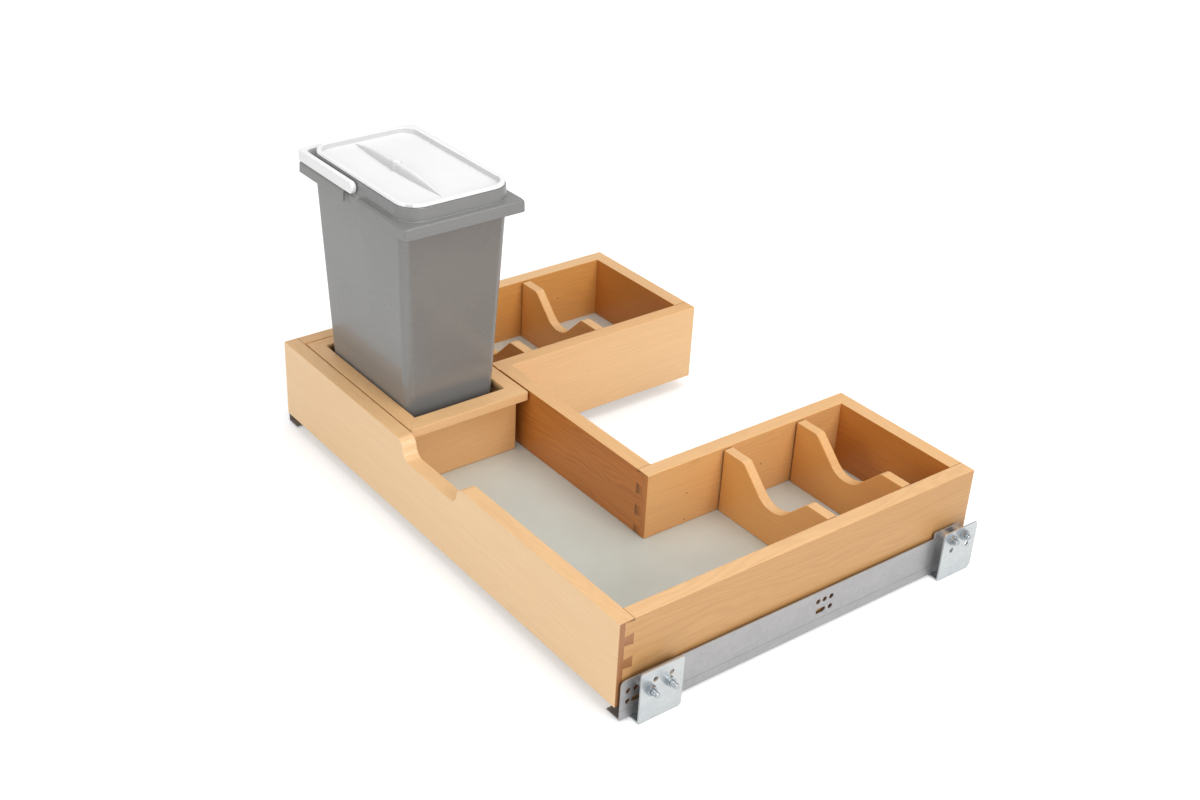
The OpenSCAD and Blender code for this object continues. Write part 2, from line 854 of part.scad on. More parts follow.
// Drawer rail: a top plate under the floor panel, two walls and inward lips
module drawer_rail() {
    y0 = drawer_rail_front;
    y1 = drawer_rail_front + drawer_rail_len;
    out = drawer_rail_w / 2 + rail_t;
    difference() {
        union() {
            box(track_x - out, track_x + out, y0, y1, drawer_rail_z, floor_recess);
            for (s = [-1, 1]) {
                mirror_about(track_x, s) {
                    box(track_x + out - rail_t, track_x + out, y0, y1, drawer_lip_z, floor_recess);
                    box(track_x + out - rail_t - lip_w, track_x + out, y0, y1, drawer_lip_z, drawer_lip_z + rail_t);
                }
            }
        }
        box(track_x + out - rail_t - eps, track_x + out + past, post_y + latch_y - 6, post_y + latch_y + 6,
            lever_z - 1, lever_z + lever_t + 1);
    }
}

// Cage plate with a window for each roller
module cage(y0, len, width, z, roller_d, roller_len) {
    step = len / roller_count;
    difference() {
        box(track_x - width / 2, track_x + width / 2, y0, y0 + len, z - cage_t / 2, z + cage_t / 2);
        for (i = [0 : roller_count - 1]) {
            y = y0 + (i + 0.5) * step;
            box(track_x - roller_len / 2 - window_play, track_x + roller_len / 2 + window_play,
                y - roller_d / 2 - window_play, y + roller_d / 2 + window_play, z - cage_t, z + cage_t);
        }
    }
}

module rollers(y0, len, z, roller_d, roller_len) {
    for (i = [0 : roller_count - 1]) {
        translate([track_x, y0 + (i + 0.5) * len / roller_count, z])
            rotate([0, 90, 0])
                cylinder(d = roller_d, h = roller_len, center = true);
    }
}

low_roller_z = track_z + play + low_roller_d / 2;
up_roller_z = mid_top + play + up_roller_d / 2;
low_cage_w = track_w - 2 * cage_gap;
up_cage_w = drawer_rail_w - 2 * cage_gap;
low_roller_len = 22;
up_roller_len = 18;

module lower_cage() {
    cage(low_cage_front, low_cage_len, low_cage_w, low_roller_z, low_roller_d, low_roller_len);
}

module upper_cage() {
    cage(up_cage_front, up_cage_len, up_cage_w, up_roller_z, up_roller_d, up_roller_len);
}

module lower_rollers() {
    rollers(low_cage_front, low_cage_len, low_roller_z, low_roller_d, low_roller_len);
}

module upper_rollers() {
    rollers(up_cage_front, up_cage_len, up_roller_z, up_roller_d, up_roller_len);
}

module left_drawer_rail() {
    color(plated) in_drawer() drawer_rail();
}

module right_drawer_rail() {
    color(plated) in_drawer_right() drawer_rail();
}

module left_middle_rail() {
    color(plated) in_drawer() middle_rail();
}

module right_middle_rail() {
    color(plated) in_drawer_right() middle_rail();
}

module left_cabinet_rail() {
    color(plated) in_drawer() cabinet_rail();
}

module right_cabinet_rail() {
    color(plated) in_drawer_right() cabinet_rail();
}

module left_lower_cage() {
    color(nylon) in_drawer() lower_cage();
}

module right_lower_cage() {
    color(nylon) in_drawer_right() lower_cage();
}

module left_upper_cage() {
    color(nylon) in_drawer() upper_cage();
}

module right_upper_cage() {
    color(nylon) in_drawer_right() upper_cage();
}

module left_lower_rollers() {
    color(nylon) in_drawer() lower_rollers();
}

module right_lower_rollers() {
    color(nylon) in_drawer_right() lower_rollers();
}

module left_upper_rollers() {
    color(nylon) in_drawer() upper_rollers();
}

module right_upper_rollers() {
    color(nylon) in_drawer_right() upper_rollers();
}

// Lock base under the floor panel: a plate, the lever's post with its head, and a rib
module lock_base() {
    plate_z = floor_recess - lock_plate;
    x1 = lock_x + lock_w;
    difference() {
        union() {
            box(lock_x, x1, board_t, board_t + lock_len, plate_z, floor_recess);
            box(lock_x, x1, board_t, board_t + 3, lever_z - 1, floor_recess);
            translate([post_x, post_y, 0]) {
                translate([0, 0, lever_z - play - 1.5]) cylinder(d = post_d, h = plate_z + 1.5 - lever_z + play + eps);
                translate([0, 0, lever_z - play - 2]) cylinder(d = post_d + 3, h = 2);
            }
        }
        lock_screw_shapes();
    }
}

// Lever on the lock's post: a latch arm towards the back and a finger arm towards the middle
module lock_lever() {
    tip_x = track_x + drawer_rail_w / 2 + rail_t - latch_in;
    hub = post_d / 2 + hub_rim;
    half = lever_w / 2;
    translate([0, 0, lever_z]) linear_extrude(lever_t) difference() {
        union() {
            translate([post_x, post_y]) circle(hub);
            translate([post_x - hub, post_y]) square([hub * 1.4, latch_y + half]);
            translate([tip_x, post_y + latch_y - half]) square([post_x - tip_x, lever_w]);
            translate([post_x, post_y - half]) square([lever_reach, lever_w]);
            translate([post_x + lever_reach, post_y]) circle(pad_d / 2 + 2);
        }
        translate([post_x, post_y]) circle(d = post_d + 2 * post_play);
    }
    translate([post_x + lever_reach, post_y, lever_z - pad_h]) cylinder(d = pad_d, h = pad_h + eps);
}

lock_screws_at = [
    [lock_x + lock_w - screw_far_in[0], board_t + lock_len - screw_far_in[1]],
    [lock_x + screw_near_in[0], board_t + screw_near_in[1]]
];

// Pan-head screws from below, through the lock base into the floor panel
module lock_screw_shapes() {
    plate_z = floor_recess - lock_plate;
    for (p = lock_screws_at) {
        translate([p[0], p[1], plate_z - 2]) {
            cylinder(d = lock_screw_d * 2, h = 2);
            cylinder(d = lock_screw_d, h = lock_plate + 2 + floor_t - 1.5);
        }
    }
}

module left_lock_base() {
    color("dimgray") in_drawer() lock_base();
}

module right_lock_base() {
    color("dimgray") in_drawer_right() lock_base();
}

module left_lock_lever() {
    color("darkorange") in_drawer() lock_lever();
}

module right_lock_lever() {
    color("darkorange") in_drawer_right() lock_lever();
}

module lock_screws() {
    color(plated) {
        in_drawer() lock_screw_shapes();
        in_drawer_right() lock_screw_shapes();
    }
}

// Angle bracket: an upright plate beside the rail and a foot under it
module bracket(y0, depth, bolts, holes, chamfer_back) {
    top = bracket_h - slide_drop - bracket_t;
    r = 3;
    cut = chamfer_back ? 4.5 : 3;
    difference() {
        union() {
            translate([-plate_x - bracket_t, y0, 0]) rotate([90, 0, 90]) linear_extrude(bracket_t) {
                polygon([
                    [0, rail_z - bracket_t], [depth - cut, rail_z - bracket_t], [depth, rail_z - bracket_t + cut],
                    [depth, top - r], [0, top - r]
                ]);
                translate([r, top - 2 * r]) square([depth - 2 * r, 2 * r]);
                for (y = [r, depth - r]) {
                    translate([y, top - r]) circle(r);
                }
            }
            box(-plate_x - bracket_t, bracket_foot - plate_x, y0, y0 + depth - cut, rail_z - bracket_t, rail_z);
        }
        for (h = holes) {
            plate_hole(y0 + h[0], h[1], bracket_hole_d);
        }
        for (b = bolts) {
            plate_hole(y0 + b[0], b[1], bolt_d + 2 * bolt_play);
        }
    }
}

module plate_hole(y, z, d) {
    translate([-plate_x - bracket_t - past, y, z])
        rotate([0, 90, 0])
            cylinder(d = d, h = bracket_t + 2 * past);
}

module front_bracket() {
    bracket(front_bracket_y, front_bracket_d, front_bolts, front_holes, false);
}

module rear_bracket() {
    bracket(rear_bracket_y, rear_bracket_d, rear_bolts, rear_holes, true);
}

module left_front_bracket() {
    color(zinc) in_drawer() front_bracket();
}

module right_front_bracket() {
    color(zinc) in_drawer_right() front_bracket();
}

module left_rear_bracket() {
    color(zinc) in_drawer() rear_bracket();
}

module right_rear_bracket() {
    color(zinc) in_drawer_right() rear_bracket();
}

plate_out = rail_t + bracket_space + bracket_t;

module bolts_one_side() {
    for (b = bolt_list) {
        translate([-side_gap, b[0], b[1]]) rotate([0, -90, 0]) {
            translate([0, 0, -head_t]) cylinder(d = head_d, h = head_t);
            translate([0, 0, -eps]) cylinder(d = bolt_d, h = plate_out + b[2]);
        }
    }
}

module nuts_one_side() {
    for (b = bolt_list) {
        translate([-side_gap, b[0], b[1]]) rotate([0, -90, 0]) translate([0, 0, plate_out]) difference() {
            cylinder(d = nut_af / cos(30), h = nut_t, $fn = 6);
            translate([0, 0, -past]) cylinder(d = bolt_d + bolt_play, h = nut_t + 2 * past);
        }
    }
}

module spacers_one_side() {
    for (b = bolt_list) {
        translate([-side_gap, b[0], b[1]]) rotate([0, -90, 0]) translate([0, 0, rail_t]) difference() {
            cylinder(d = spacer_d, h = bracket_space);
            translate([0, 0, -past]) cylinder(d = bolt_d + 2 * bolt_play, h = bracket_space + 2 * past);
        }
    }
}

module bracket_bolts() {
    color(zinc) {
        in_drawer() bolts_one_side();
        in_drawer_right() bolts_one_side();
    }
}

module bracket_nuts() {
    color(zinc) {
        in_drawer() nuts_one_side();
        in_drawer_right() nuts_one_side();
    }
}

module bracket_spacers() {
    color(plated) {
        in_drawer() spacers_one_side();
        in_drawer_right() spacers_one_side();
    }
}

front_board();
left_side_board();
right_side_board();
left_arm_board();
right_arm_board();
inner_back_board();
left_rear_board();
right_rear_board();
floor_panel();
left_front_divider();
left_rear_divider();
right_front_divider();
right_rear_divider();
divider_wires();
holder_front_rail();
holder_rear_rail();
holder_left_rail_piece();
holder_right_rail_piece();
holder_front_wall();
holder_rear_wall();
holder_left_wall();
holder_right_wall();
left_drawer_rail();
right_drawer_rail();
left_lock_base();
right_lock_base();
left_lock_lever();
right_lock_lever();
lock_screws();
left_middle_rail();
right_middle_rail();
left_lower_cage();
right_lower_cage();
left_upper_cage();
right_upper_cage();
left_lower_rollers();
right_lower_rollers();
left_upper_rollers();
right_upper_rollers();
left_cabinet_rail();
right_cabinet_rail();
left_front_bracket();
left_rear_bracket();
right_front_bracket();
right_rear_bracket();
bracket_bolts();
bracket_nuts();
bracket_spacers();
bin_body();
bin_lid();
bin_bail();
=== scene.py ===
"""Pull-out vanity organizer: a U-shaped dovetailed drawer on under-floor slides, with a lidded bin."""
import logging
import math
import random
from collections.abc import Callable
from dataclasses import dataclass, field
from enum import Enum

import bmesh
import bpy
from bpy.types import Material, NodeTree, Object
from mathutils import Matrix, Vector
from mathutils.bvhtree import BVHTree


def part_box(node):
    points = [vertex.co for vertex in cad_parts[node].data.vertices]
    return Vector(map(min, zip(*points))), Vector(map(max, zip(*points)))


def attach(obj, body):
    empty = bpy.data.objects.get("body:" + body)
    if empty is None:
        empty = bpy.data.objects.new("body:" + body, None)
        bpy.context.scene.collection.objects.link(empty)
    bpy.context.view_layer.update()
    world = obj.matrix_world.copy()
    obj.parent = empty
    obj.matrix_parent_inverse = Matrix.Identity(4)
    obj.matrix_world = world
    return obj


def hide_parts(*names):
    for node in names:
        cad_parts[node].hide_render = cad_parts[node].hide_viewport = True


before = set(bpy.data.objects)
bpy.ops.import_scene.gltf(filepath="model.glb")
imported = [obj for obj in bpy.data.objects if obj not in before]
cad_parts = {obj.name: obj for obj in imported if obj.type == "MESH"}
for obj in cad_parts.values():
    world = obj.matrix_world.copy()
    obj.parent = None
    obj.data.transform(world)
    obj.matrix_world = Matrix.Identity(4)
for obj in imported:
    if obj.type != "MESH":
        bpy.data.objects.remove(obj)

LOG = logging.getLogger("organizer")
MM = 0.001
WELD = 2e-6
UPWARD = 0.7
FACING = 0.9
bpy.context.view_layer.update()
BORE_LENGTH = (4.0 * MM, 10.0 * MM)
BORE_FACET = 0.4 * MM
BORE_WIDTH = (1.0 * MM, 5.0 * MM)
# Painted shade inside the wire holes: their walls and bottoms are mixed this far towards black.
BORE_SHADE = 0.85
END_REACH = 20.0 * MM
CROSS_CUT = 0.3


class Grain(Enum):
    """Direction in which a board's fibres run."""

    ACROSS = (1.0, 0.0, 0.0)
    DEEP = (0.0, 1.0, 0.0)
    UPRIGHT = (0.0, 0.0, 1.0)


class Side(Enum):
    """Side of the drawer on which a slide stands, with the sign of its X."""

    LEFT = -1.0
    RIGHT = 1.0


def srgb(red: float, green: float, blue: float) -> tuple[float, float, float, float]:
    """Turns a colour written as screen values into the linear colour that a shader takes.

    Args:
        red: Screen value from 0 to 255.
        green: Screen value from 0 to 255.
        blue: Screen value from 0 to 255.

    Returns:
        Linear red, green and blue with an alpha of 1.
    """
    def linear(value: float) -> float:
        """One channel of the change from screen value to linear light."""
        share = value / 255.0
        return share / 12.92 if share <= 0.04045 else ((share + 0.055) / 1.055) ** 2.4

    return linear(red), linear(green), linear(blue), 1.0


class Net:
    """Short way to place and join the nodes of one node tree."""

    def __init__(self, tree: NodeTree) -> None:
        """Keeps the tree that the nodes go into."""
        self.tree = tree

    def node(self, kind: str, values: dict | None = None, **settings: object) -> bpy.types.Node:
        """Adds a node.

        Args:
            kind: The node's type name.
            values: Input values by socket name or number.
            settings: Attributes of the node.

        Returns:
            The new node.
        """
        made = self.tree.nodes.new(kind)
        for name, value in settings.items():
            setattr(made, name, value)
        for name, value in (values or {}).items():
            made.inputs[name].default_value = value
        return made

    def join(self, source: bpy.types.NodeSocket, target: bpy.types.NodeSocket) -> None:
        """Links an output to an input."""
        self.tree.links.new(source, target)

    def math(self, operation: str, first: object, second: object = 0.5,
             clamp: bool = False) -> bpy.types.NodeSocket:
        """Adds a Math node.

        Args:
            operation: The node's operation.
            first: A socket or a number.
            second: A socket or a number.
            clamp: Whether the result is held between 0 and 1.

        Returns:
            The result's socket.
        """
        made = self.node("ShaderNodeMath", operation=operation, use_clamp=clamp)
        for place, value in enumerate((first, second)):
            if isinstance(value, bpy.types.NodeSocket):
                self.join(value, made.inputs[place])
            else:
                made.inputs[place].default_value = value
        return made.outputs[0]

    def stretched_noise(self, vector: bpy.types.NodeSocket, scale: tuple[float, float, float],
                        detail: float = 3.0, roughness: float = 0.5,
                        distortion: float = 0.0) -> bpy.types.NodeSocket:
        """Adds a noise whose pattern is stretched by a Mapping node.

        Args:
            vector: The position to read.
            scale: Repeats per metre along each axis.
            detail: Octaves of finer noise.
            roughness: Strength of the finer octaves.
            distortion: How far the noise bends itself.

        Returns:
            The noise value's socket, from 0 to 1.
        """
        mapping = self.node("ShaderNodeMapping", {"Scale": scale})
        self.join(vector, mapping.inputs["Vector"])
        noise = self.node("ShaderNodeTexNoise", {"Scale": 1.0, "Detail": detail, "Roughness": roughness,
                                                 "Distortion": distortion})
        self.join(mapping.outputs[0], noise.inputs["Vector"])
        return noise.outputs["Fac"]

    def span(self, value: bpy.types.NodeSocket, low: float, high: float,
             to_low: float = 0.0, to_high: float = 1.0) -> bpy.types.NodeSocket:
        """Maps a value smoothly from one range to another, and holds it there.

        Args:
            value: The socket to map.
            low: Value that becomes to_low.
            high: Value that becomes to_high.
            to_low: Lowest result.
            to_high: Highest result.

        Returns:
            The result's socket.
        """
        made = self.node("ShaderNodeMapRange", {"From Min": low, "From Max": high, "To Min": to_low,
                                                "To Max": to_high}, interpolation_type="SMOOTHSTEP")
        self.join(value, made.inputs["Value"])
        return made.outputs[0]

    def mix(self, factor: object, first: object, second: object, blend: str = "MIX") -> bpy.types.NodeSocket:
        """Mixes two colours.

        Args:
            factor: A socket or a number.
            first: A socket or a colour.
            second: A socket or a colour.
            blend: The blending mode.

        Returns:
            The mixed colour's socket.
        """
        made = self.node("ShaderNodeMix", data_type="RGBA", blend_type=blend)
        for place, value in ((0, factor), (6, first), (7, second)):
            if isinstance(value, bpy.types.NodeSocket):
                self.join(value, made.inputs[place])
            else:
                made.inputs[place].default_value = value
        return made.outputs[2]


def new_group(name: str, inputs: dict[str, str],
              outputs: dict[str, str]) -> tuple[NodeTree, Net, bpy.types.Node, bpy.types.Node]:
    """Makes an empty shader node group.

    Args:
        name: The group's name.
        inputs: Socket types by input name.
        outputs: Socket types by output name.

    Returns:
        The group, its net, its input node and its output node.
    """
    group = bpy.data.node_groups.new(name, "ShaderNodeTree")
    for label, kind in inputs.items():
        group.interface.new_socket(name=label, in_out="INPUT", socket_type=kind)
    for label, kind in outputs.items():
        group.interface.new_socket(name=label, in_out="OUTPUT", socket_type=kind)
    net = Net(group)
    return group, net, net.node("NodeGroupInput"), net.node("NodeGroupOutput")


class Effects:
    """Shader node groups that several finishes share."""

    def __init__(self) -> None:
        """Builds the groups once."""
        self.surface = self._surface()
        self.fibre = self._fibre()
        self.plating = self._plating()

    @staticmethod
    def _surface() -> NodeTree:
        """Slight mottling of a made surface: a tint, a roughness share and a fine height.

        Returns:
            The node group.
        """
        group, net, given, out = new_group(
            "surface_mottle",
            {"Vector": "NodeSocketVector", "Coarse": "NodeSocketFloat", "Fine": "NodeSocketFloat"},
            {"Mottle": "NodeSocketFloat", "Height": "NodeSocketFloat"})
        coarse = net.node("ShaderNodeTexNoise", {"Detail": 3.0, "Roughness": 0.55})
        fine = net.node("ShaderNodeTexNoise", {"Detail": 2.0, "Roughness": 0.6})
        for noise, scale in ((coarse, "Coarse"), (fine, "Fine")):
            net.join(given.outputs["Vector"], noise.inputs["Vector"])
            net.join(given.outputs[scale], noise.inputs["Scale"])
        net.join(coarse.outputs["Fac"], out.inputs["Mottle"])
        net.join(fine.outputs["Fac"], out.inputs["Height"])
        return group

    @staticmethod
    def _fibre() -> NodeTree:
        """Wood figure from a board's own coordinates, whose X runs along the fibres.

        Returns:
            The node group.
        """
        group, net, given, out = new_group(
            "wood_figure", {"Vector": "NodeSocketVector"},
            {"Figure": "NodeSocketFloat", "Fleck": "NodeSocketFloat", "Pore": "NodeSocketFloat",
             "Drift": "NodeSocketFloat"})
        place = given.outputs["Vector"]
        drift = net.stretched_noise(place, (1.6, 9.0, 9.0), 2.0, 0.5)
        sway = net.stretched_noise(place, (3.2, 16.0, 16.0), 3.0, 0.55)
        shift = net.node("ShaderNodeVectorMath", operation="SCALE")
        shift.inputs[0].default_value = (0.0, 0.035, 0.05)
        net.join(sway, shift.inputs["Scale"])
        moved = net.node("ShaderNodeVectorMath", operation="ADD")
        net.join(place, moved.inputs[0])
        net.join(shift.outputs[0], moved.inputs[1])
        squeeze = net.node("ShaderNodeMapping", {"Scale": (0.13, 1.0, 1.0)})
        net.join(moved.outputs[0], squeeze.inputs["Vector"])
        rings = net.node("ShaderNodeTexWave",
                         {"Scale": 78.0, "Distortion": 3.0, "Detail": 2.0, "Detail Scale": 1.4},
                         wave_type="RINGS", rings_direction="X", wave_profile="SIN")
        net.join(squeeze.outputs[0], rings.inputs["Vector"])
        streak = net.stretched_noise(place, (12.0, 700.0, 700.0), 3.0, 0.6)
        band = net.stretched_noise(moved.outputs[0], (3.0, 70.0, 70.0), 2.0, 0.5)
        lines = net.span(rings.outputs["Fac"], 0.2, 1.0)
        total = net.math("ADD", net.math("MULTIPLY", lines, 0.17), net.math("MULTIPLY", streak, 0.62))
        total = net.math("ADD", total, net.math("MULTIPLY", band, 0.34))
        net.join(net.span(total, 0.34, 0.82), out.inputs["Figure"])
        fleck = net.stretched_noise(place, (90.0, 1100.0, 1100.0), 1.0, 0.4)
        net.join(net.span(fleck, 0.68, 0.84), out.inputs["Fleck"])
        net.join(net.stretched_noise(place, (130.0, 2400.0, 2400.0), 2.0, 0.5), out.inputs["Pore"])
        net.join(drift, out.inputs["Drift"])
        return group

    @staticmethod
    def _plating() -> NodeTree:
        """Zinc plate: cloudy patches, rolling lines along the sheet and a spangle.

        Returns:
            The node group.
        """
        group, net, given, out = new_group(
            "zinc_plate", {"Vector": "NodeSocketVector"},
            {"Cloud": "NodeSocketFloat", "Roll": "NodeSocketFloat"})
        place = given.outputs["Vector"]
        cloud = net.stretched_noise(place, (60.0, 26.0, 60.0), 4.0, 0.6, 0.4)
        spangle = net.node("ShaderNodeTexVoronoi", {"Scale": 210.0})
        net.join(place, spangle.inputs["Vector"])
        grey = net.node("ShaderNodeSeparateColor")
        net.join(spangle.outputs["Color"], grey.inputs[0])
        spots = net.math("MULTIPLY", grey.outputs[0], 0.25)
        mixed = net.math("ADD", net.math("MULTIPLY", cloud, 0.75), spots)
        net.join(mixed, out.inputs["Cloud"])
        net.join(net.stretched_noise(place, (900.0, 9.0, 900.0), 3.0, 0.6), out.inputs["Roll"])
        return group


@dataclass(frozen=True)
class MapleFinish:
    """Clear-coated maple. A piece gives its board coordinates, tone (painted shade and light included),
    painted shade, figure and end grain.
    """

    name: str = "clear_maple"
    pale: tuple = srgb(242, 206, 159)
    amber: tuple = srgb(224, 162, 88)
    deep: tuple = srgb(194, 117, 40)
    shade: tuple = (0.52, 0.36, 0.22, 1.0)
    end: tuple = srgb(146, 86, 38)
    fleck: tuple = srgb(164, 112, 68)
    roughness: float = 0.42
    coat: float = 0.22

    def make(self, effects: Effects) -> Material:
        """Builds the material.

        Args:
            effects: The shared node groups.

        Returns:
            The material.
        """
        material, net, shader = start_material(self.name)
        board = net.node("ShaderNodeAttribute", attribute_name="board")
        tone = net.node("ShaderNodeAttribute", attribute_name="tone")
        end = net.node("ShaderNodeAttribute", attribute_name="end")
        share = net.node("ShaderNodeAttribute", attribute_name="figure")
        figure = net.node("ShaderNodeGroup")
        figure.node_tree = effects.fibre
        net.join(board.outputs["Vector"], figure.inputs["Vector"])
        drift = net.math("MULTIPLY", net.math("SUBTRACT", figure.outputs["Drift"], 0.5), 0.35)
        depth = net.math("ADD", tone.outputs["Fac"], drift)
        body = net.mix(net.math("ADD", depth, 0.0, clamp=True), self.pale, self.amber)
        body = net.mix(net.math("SUBTRACT", depth, 1.0, clamp=True), body, self.deep)
        lines = net.math("MULTIPLY", figure.outputs["Figure"], share.outputs["Fac"])
        body = net.mix(lines, body, self.shade, "MULTIPLY")
        body = net.mix(net.math("MULTIPLY", figure.outputs["Fleck"], 0.22), body, self.fleck)
        # Painted shade: the colour is mixed towards black by the piece's painted shade value.
        dull = net.node("ShaderNodeAttribute", attribute_name="dull")
        body = net.mix(dull.outputs["Fac"], body, (0.0, 0.0, 0.0, 1.0))
        cut = net.span(end.outputs["Fac"], 0.85, 0.97)
        rings = net.node("ShaderNodeTexNoise", {"Scale": 420.0, "Detail": 2.0})
        net.join(board.outputs["Vector"], rings.inputs["Vector"])
        dark = net.mix(net.math("MULTIPLY", rings.outputs["Fac"], 0.5), self.end, self.fleck)
        body = net.mix(net.math("MULTIPLY", cut, 0.9), body, dark)
        net.join(body, shader.inputs["Base Color"])
        rough = net.math("ADD", self.roughness - 0.06, net.math("MULTIPLY", figure.outputs["Pore"], 0.14))
        net.join(rough, shader.inputs["Roughness"])
        shader.inputs["Coat Weight"].default_value = self.coat
        shader.inputs["Coat Roughness"].default_value = 0.22
        bump = net.node("ShaderNodeBump", {"Strength": 0.22, "Distance": 0.0003})
        net.join(figure.outputs["Pore"], bump.inputs["Height"])
        net.join(bump.outputs[0], shader.inputs["Normal"])
        return material


@dataclass(frozen=True)
class MottledFinish:
    """Moulded plastic or laminate: one colour with slight mottling and a fine texture, and painted shade on
    the steep faces of the lid's recess.
    """

    name: str
    colour: tuple
    second: tuple
    roughness: float
    spread: float = 0.08
    coarse: float = 26.0
    fine: float = 900.0
    bump: float = 0.06
    coat: float = 0.0

    def make(self, effects: Effects) -> Material:
        """Builds the material.

        Args:
            effects: The shared node groups.

        Returns:
            The material.
        """
        material, net, shader = start_material(self.name)
        place = net.node("ShaderNodeTexCoord")
        mottle = net.node("ShaderNodeGroup")
        mottle.node_tree = effects.surface
        mottle.inputs["Coarse"].default_value = self.coarse
        mottle.inputs["Fine"].default_value = self.fine
        net.join(place.outputs["Object"], mottle.inputs["Vector"])
        mask = net.span(mottle.outputs["Mottle"], 0.32, 0.68)
        body = net.mix(mask, self.colour, self.second)
        # Painted shade: steep faces in the lid's recess are mixed towards black.
        sunk = net.node("ShaderNodeAttribute", attribute_name="sunk")
        body = net.mix(sunk.outputs["Fac"], body, (0.0, 0.0, 0.0, 1.0))
        net.join(body, shader.inputs["Base Color"])
        rough = net.math("ADD", self.roughness - self.spread / 2, net.math("MULTIPLY", mask, self.spread))
        net.join(rough, shader.inputs["Roughness"])
        shader.inputs["Coat Weight"].default_value = self.coat
        shader.inputs["Coat Roughness"].default_value = 0.15
        bump = net.node("ShaderNodeBump", {"Strength": self.bump, "Distance": 0.0003})
        net.join(mottle.outputs["Height"], bump.inputs["Height"])
        net.join(bump.outputs[0], shader.inputs["Normal"])
        return material


@dataclass(frozen=True)
class ZincFinish:
    """Zinc-plated steel sheet or hardware. A sheet may have a fine crease at one height in metres, with
    painted shade along it.
    """

    name: str
    light: tuple
    dark: tuple
    roughness: float = 0.38
    metal: float = 0.85
    crease: float = -1.0
    # Painted shade colour of the line along the crease.
    crease_shade: tuple = (0.1, 0.1, 0.1, 1.0)

    def make(self, effects: Effects) -> Material:
        """Builds the material.

        Args:
            effects: The shared node groups.

        Returns:
            The material.
        """
        material, net, shader = start_material(self.name)
        place = net.node("ShaderNodeTexCoord")
        plate = net.node("ShaderNodeGroup")
        plate.node_tree = effects.plating
        net.join(place.outputs["Object"], plate.inputs["Vector"])
        mask = net.span(plate.outputs["Cloud"], 0.3, 0.7)
        height = net.node("ShaderNodeSeparateXYZ")
        net.join(place.outputs["Object"], height.inputs[0])
        away = net.math("ABSOLUTE", net.math("SUBTRACT", height.outputs[2], self.crease))
        line = net.span(away, 0.0002, 0.0010, 1.0, 0.0)
        body = net.mix(mask, self.light, self.dark)
        # Painted shade: a dark line along the crease's height; the bump below is the real crease.
        body = net.mix(net.math("MULTIPLY", line, 0.3), body, self.crease_shade)
        net.join(body, shader.inputs["Base Color"])
        shader.inputs["Metallic"].default_value = self.metal
        rough = net.math("ADD", self.roughness - 0.06, net.math("MULTIPLY", plate.outputs["Cloud"], 0.14))
        rough = net.math("ADD", rough, net.math("MULTIPLY", plate.outputs["Roll"], 0.05))
        net.join(rough, shader.inputs["Roughness"])
        bump = net.node("ShaderNodeBump", {"Strength": 0.10, "Distance": 0.0004})
        relief = net.math("MULTIPLY", plate.outputs["Roll"], 0.5)
        relief = net.math("ADD", relief, net.math("MULTIPLY", line, 3.0))
        net.join(relief, bump.inputs["Height"])
        net.join(bump.outputs[0], shader.inputs["Normal"])
        return material


def start_material(name: str) -> tuple[Material, Net, bpy.types.Node]:
    """Makes a material with an empty Principled shader.

    Args:
        name: The material's name.

    Returns:
        The material, its net and its shader node.
    """
    material = bpy.data.materials.new(name)
    material.use_nodes = True
    material.node_tree.nodes.clear()
    net = Net(material.node_tree)
    shader = net.node("ShaderNodeBsdfPrincipled")
    output = net.node("ShaderNodeOutputMaterial")
    net.join(shader.outputs[0], output.inputs[0])
    return material, net, shader


class Palette:
    """All finishes of the object, each made once."""

    def __init__(self) -> None:
        """Builds every material once."""
        effects = Effects()
        self.maple = MapleFinish().make(effects)
        self.laminate = MottledFinish("greige_laminate", srgb(206, 211, 203), srgb(201, 205, 196), 0.38,
                                      0.10, 14.0, 700.0, 0.05, 0.12).make(effects)
        self.steel = ZincFinish("rolled_zinc", srgb(188, 188, 189), srgb(182, 182, 184), 0.40, 0.8,
                                crease=0.0135).make(effects)
        self.bright = ZincFinish("bright_zinc", srgb(218, 222, 223), srgb(209, 214, 216), 0.32).make(effects)
        self.bolt = ZincFinish("bolt_zinc", srgb(196, 202, 206), srgb(168, 176, 182), 0.20, 1.0).make(effects)
        self.nylon = MottledFinish("moulded_nylon", srgb(226, 225, 220), srgb(218, 217, 211),
                                   0.5).make(effects)
        self.housing = MottledFinish("grey_moulding", srgb(92, 94, 97), srgb(84, 86, 90), 0.5, 0.08, 40.0,
                                     1400.0, 0.12).make(effects)
        self.lever = MottledFinish("light_moulding", srgb(160, 163, 166), srgb(152, 155, 159), 0.48, 0.08,
                                   40.0, 1400.0, 0.12).make(effects)
        self.bin = MottledFinish("warm_grey_plastic", srgb(129, 129, 128), srgb(126, 126, 125), 0.26, 0.06,
                                 9.0, 1500.0, 0.04, 0.5).make(effects)
        self.lid = MottledFinish("white_plastic", srgb(242, 242, 242), srgb(239, 239, 240), 0.36, 0.08,
                                 16.0, 1500.0, 0.05, 0.1).make(effects)


def node_copy(node: str, name: str) -> Object:
    """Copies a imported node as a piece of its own, with flat faces joined up.

    Args:
        node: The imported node.
        name: The new piece's name.

    Returns:
        The new object at the origin.
    """
    mesh = bpy.data.meshes.new(name)
    shape = bmesh.new()
    shape.from_mesh(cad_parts[node].data)
    bmesh.ops.remove_doubles(shape, verts=shape.verts, dist=WELD)
    bmesh.ops.dissolve_limit(shape, angle_limit=math.radians(0.4), verts=shape.verts, edges=shape.edges)
    shape.to_mesh(mesh)
    shape.free()
    made = bpy.data.objects.new(name, mesh)
    bpy.context.scene.collection.objects.link(made)
    return made


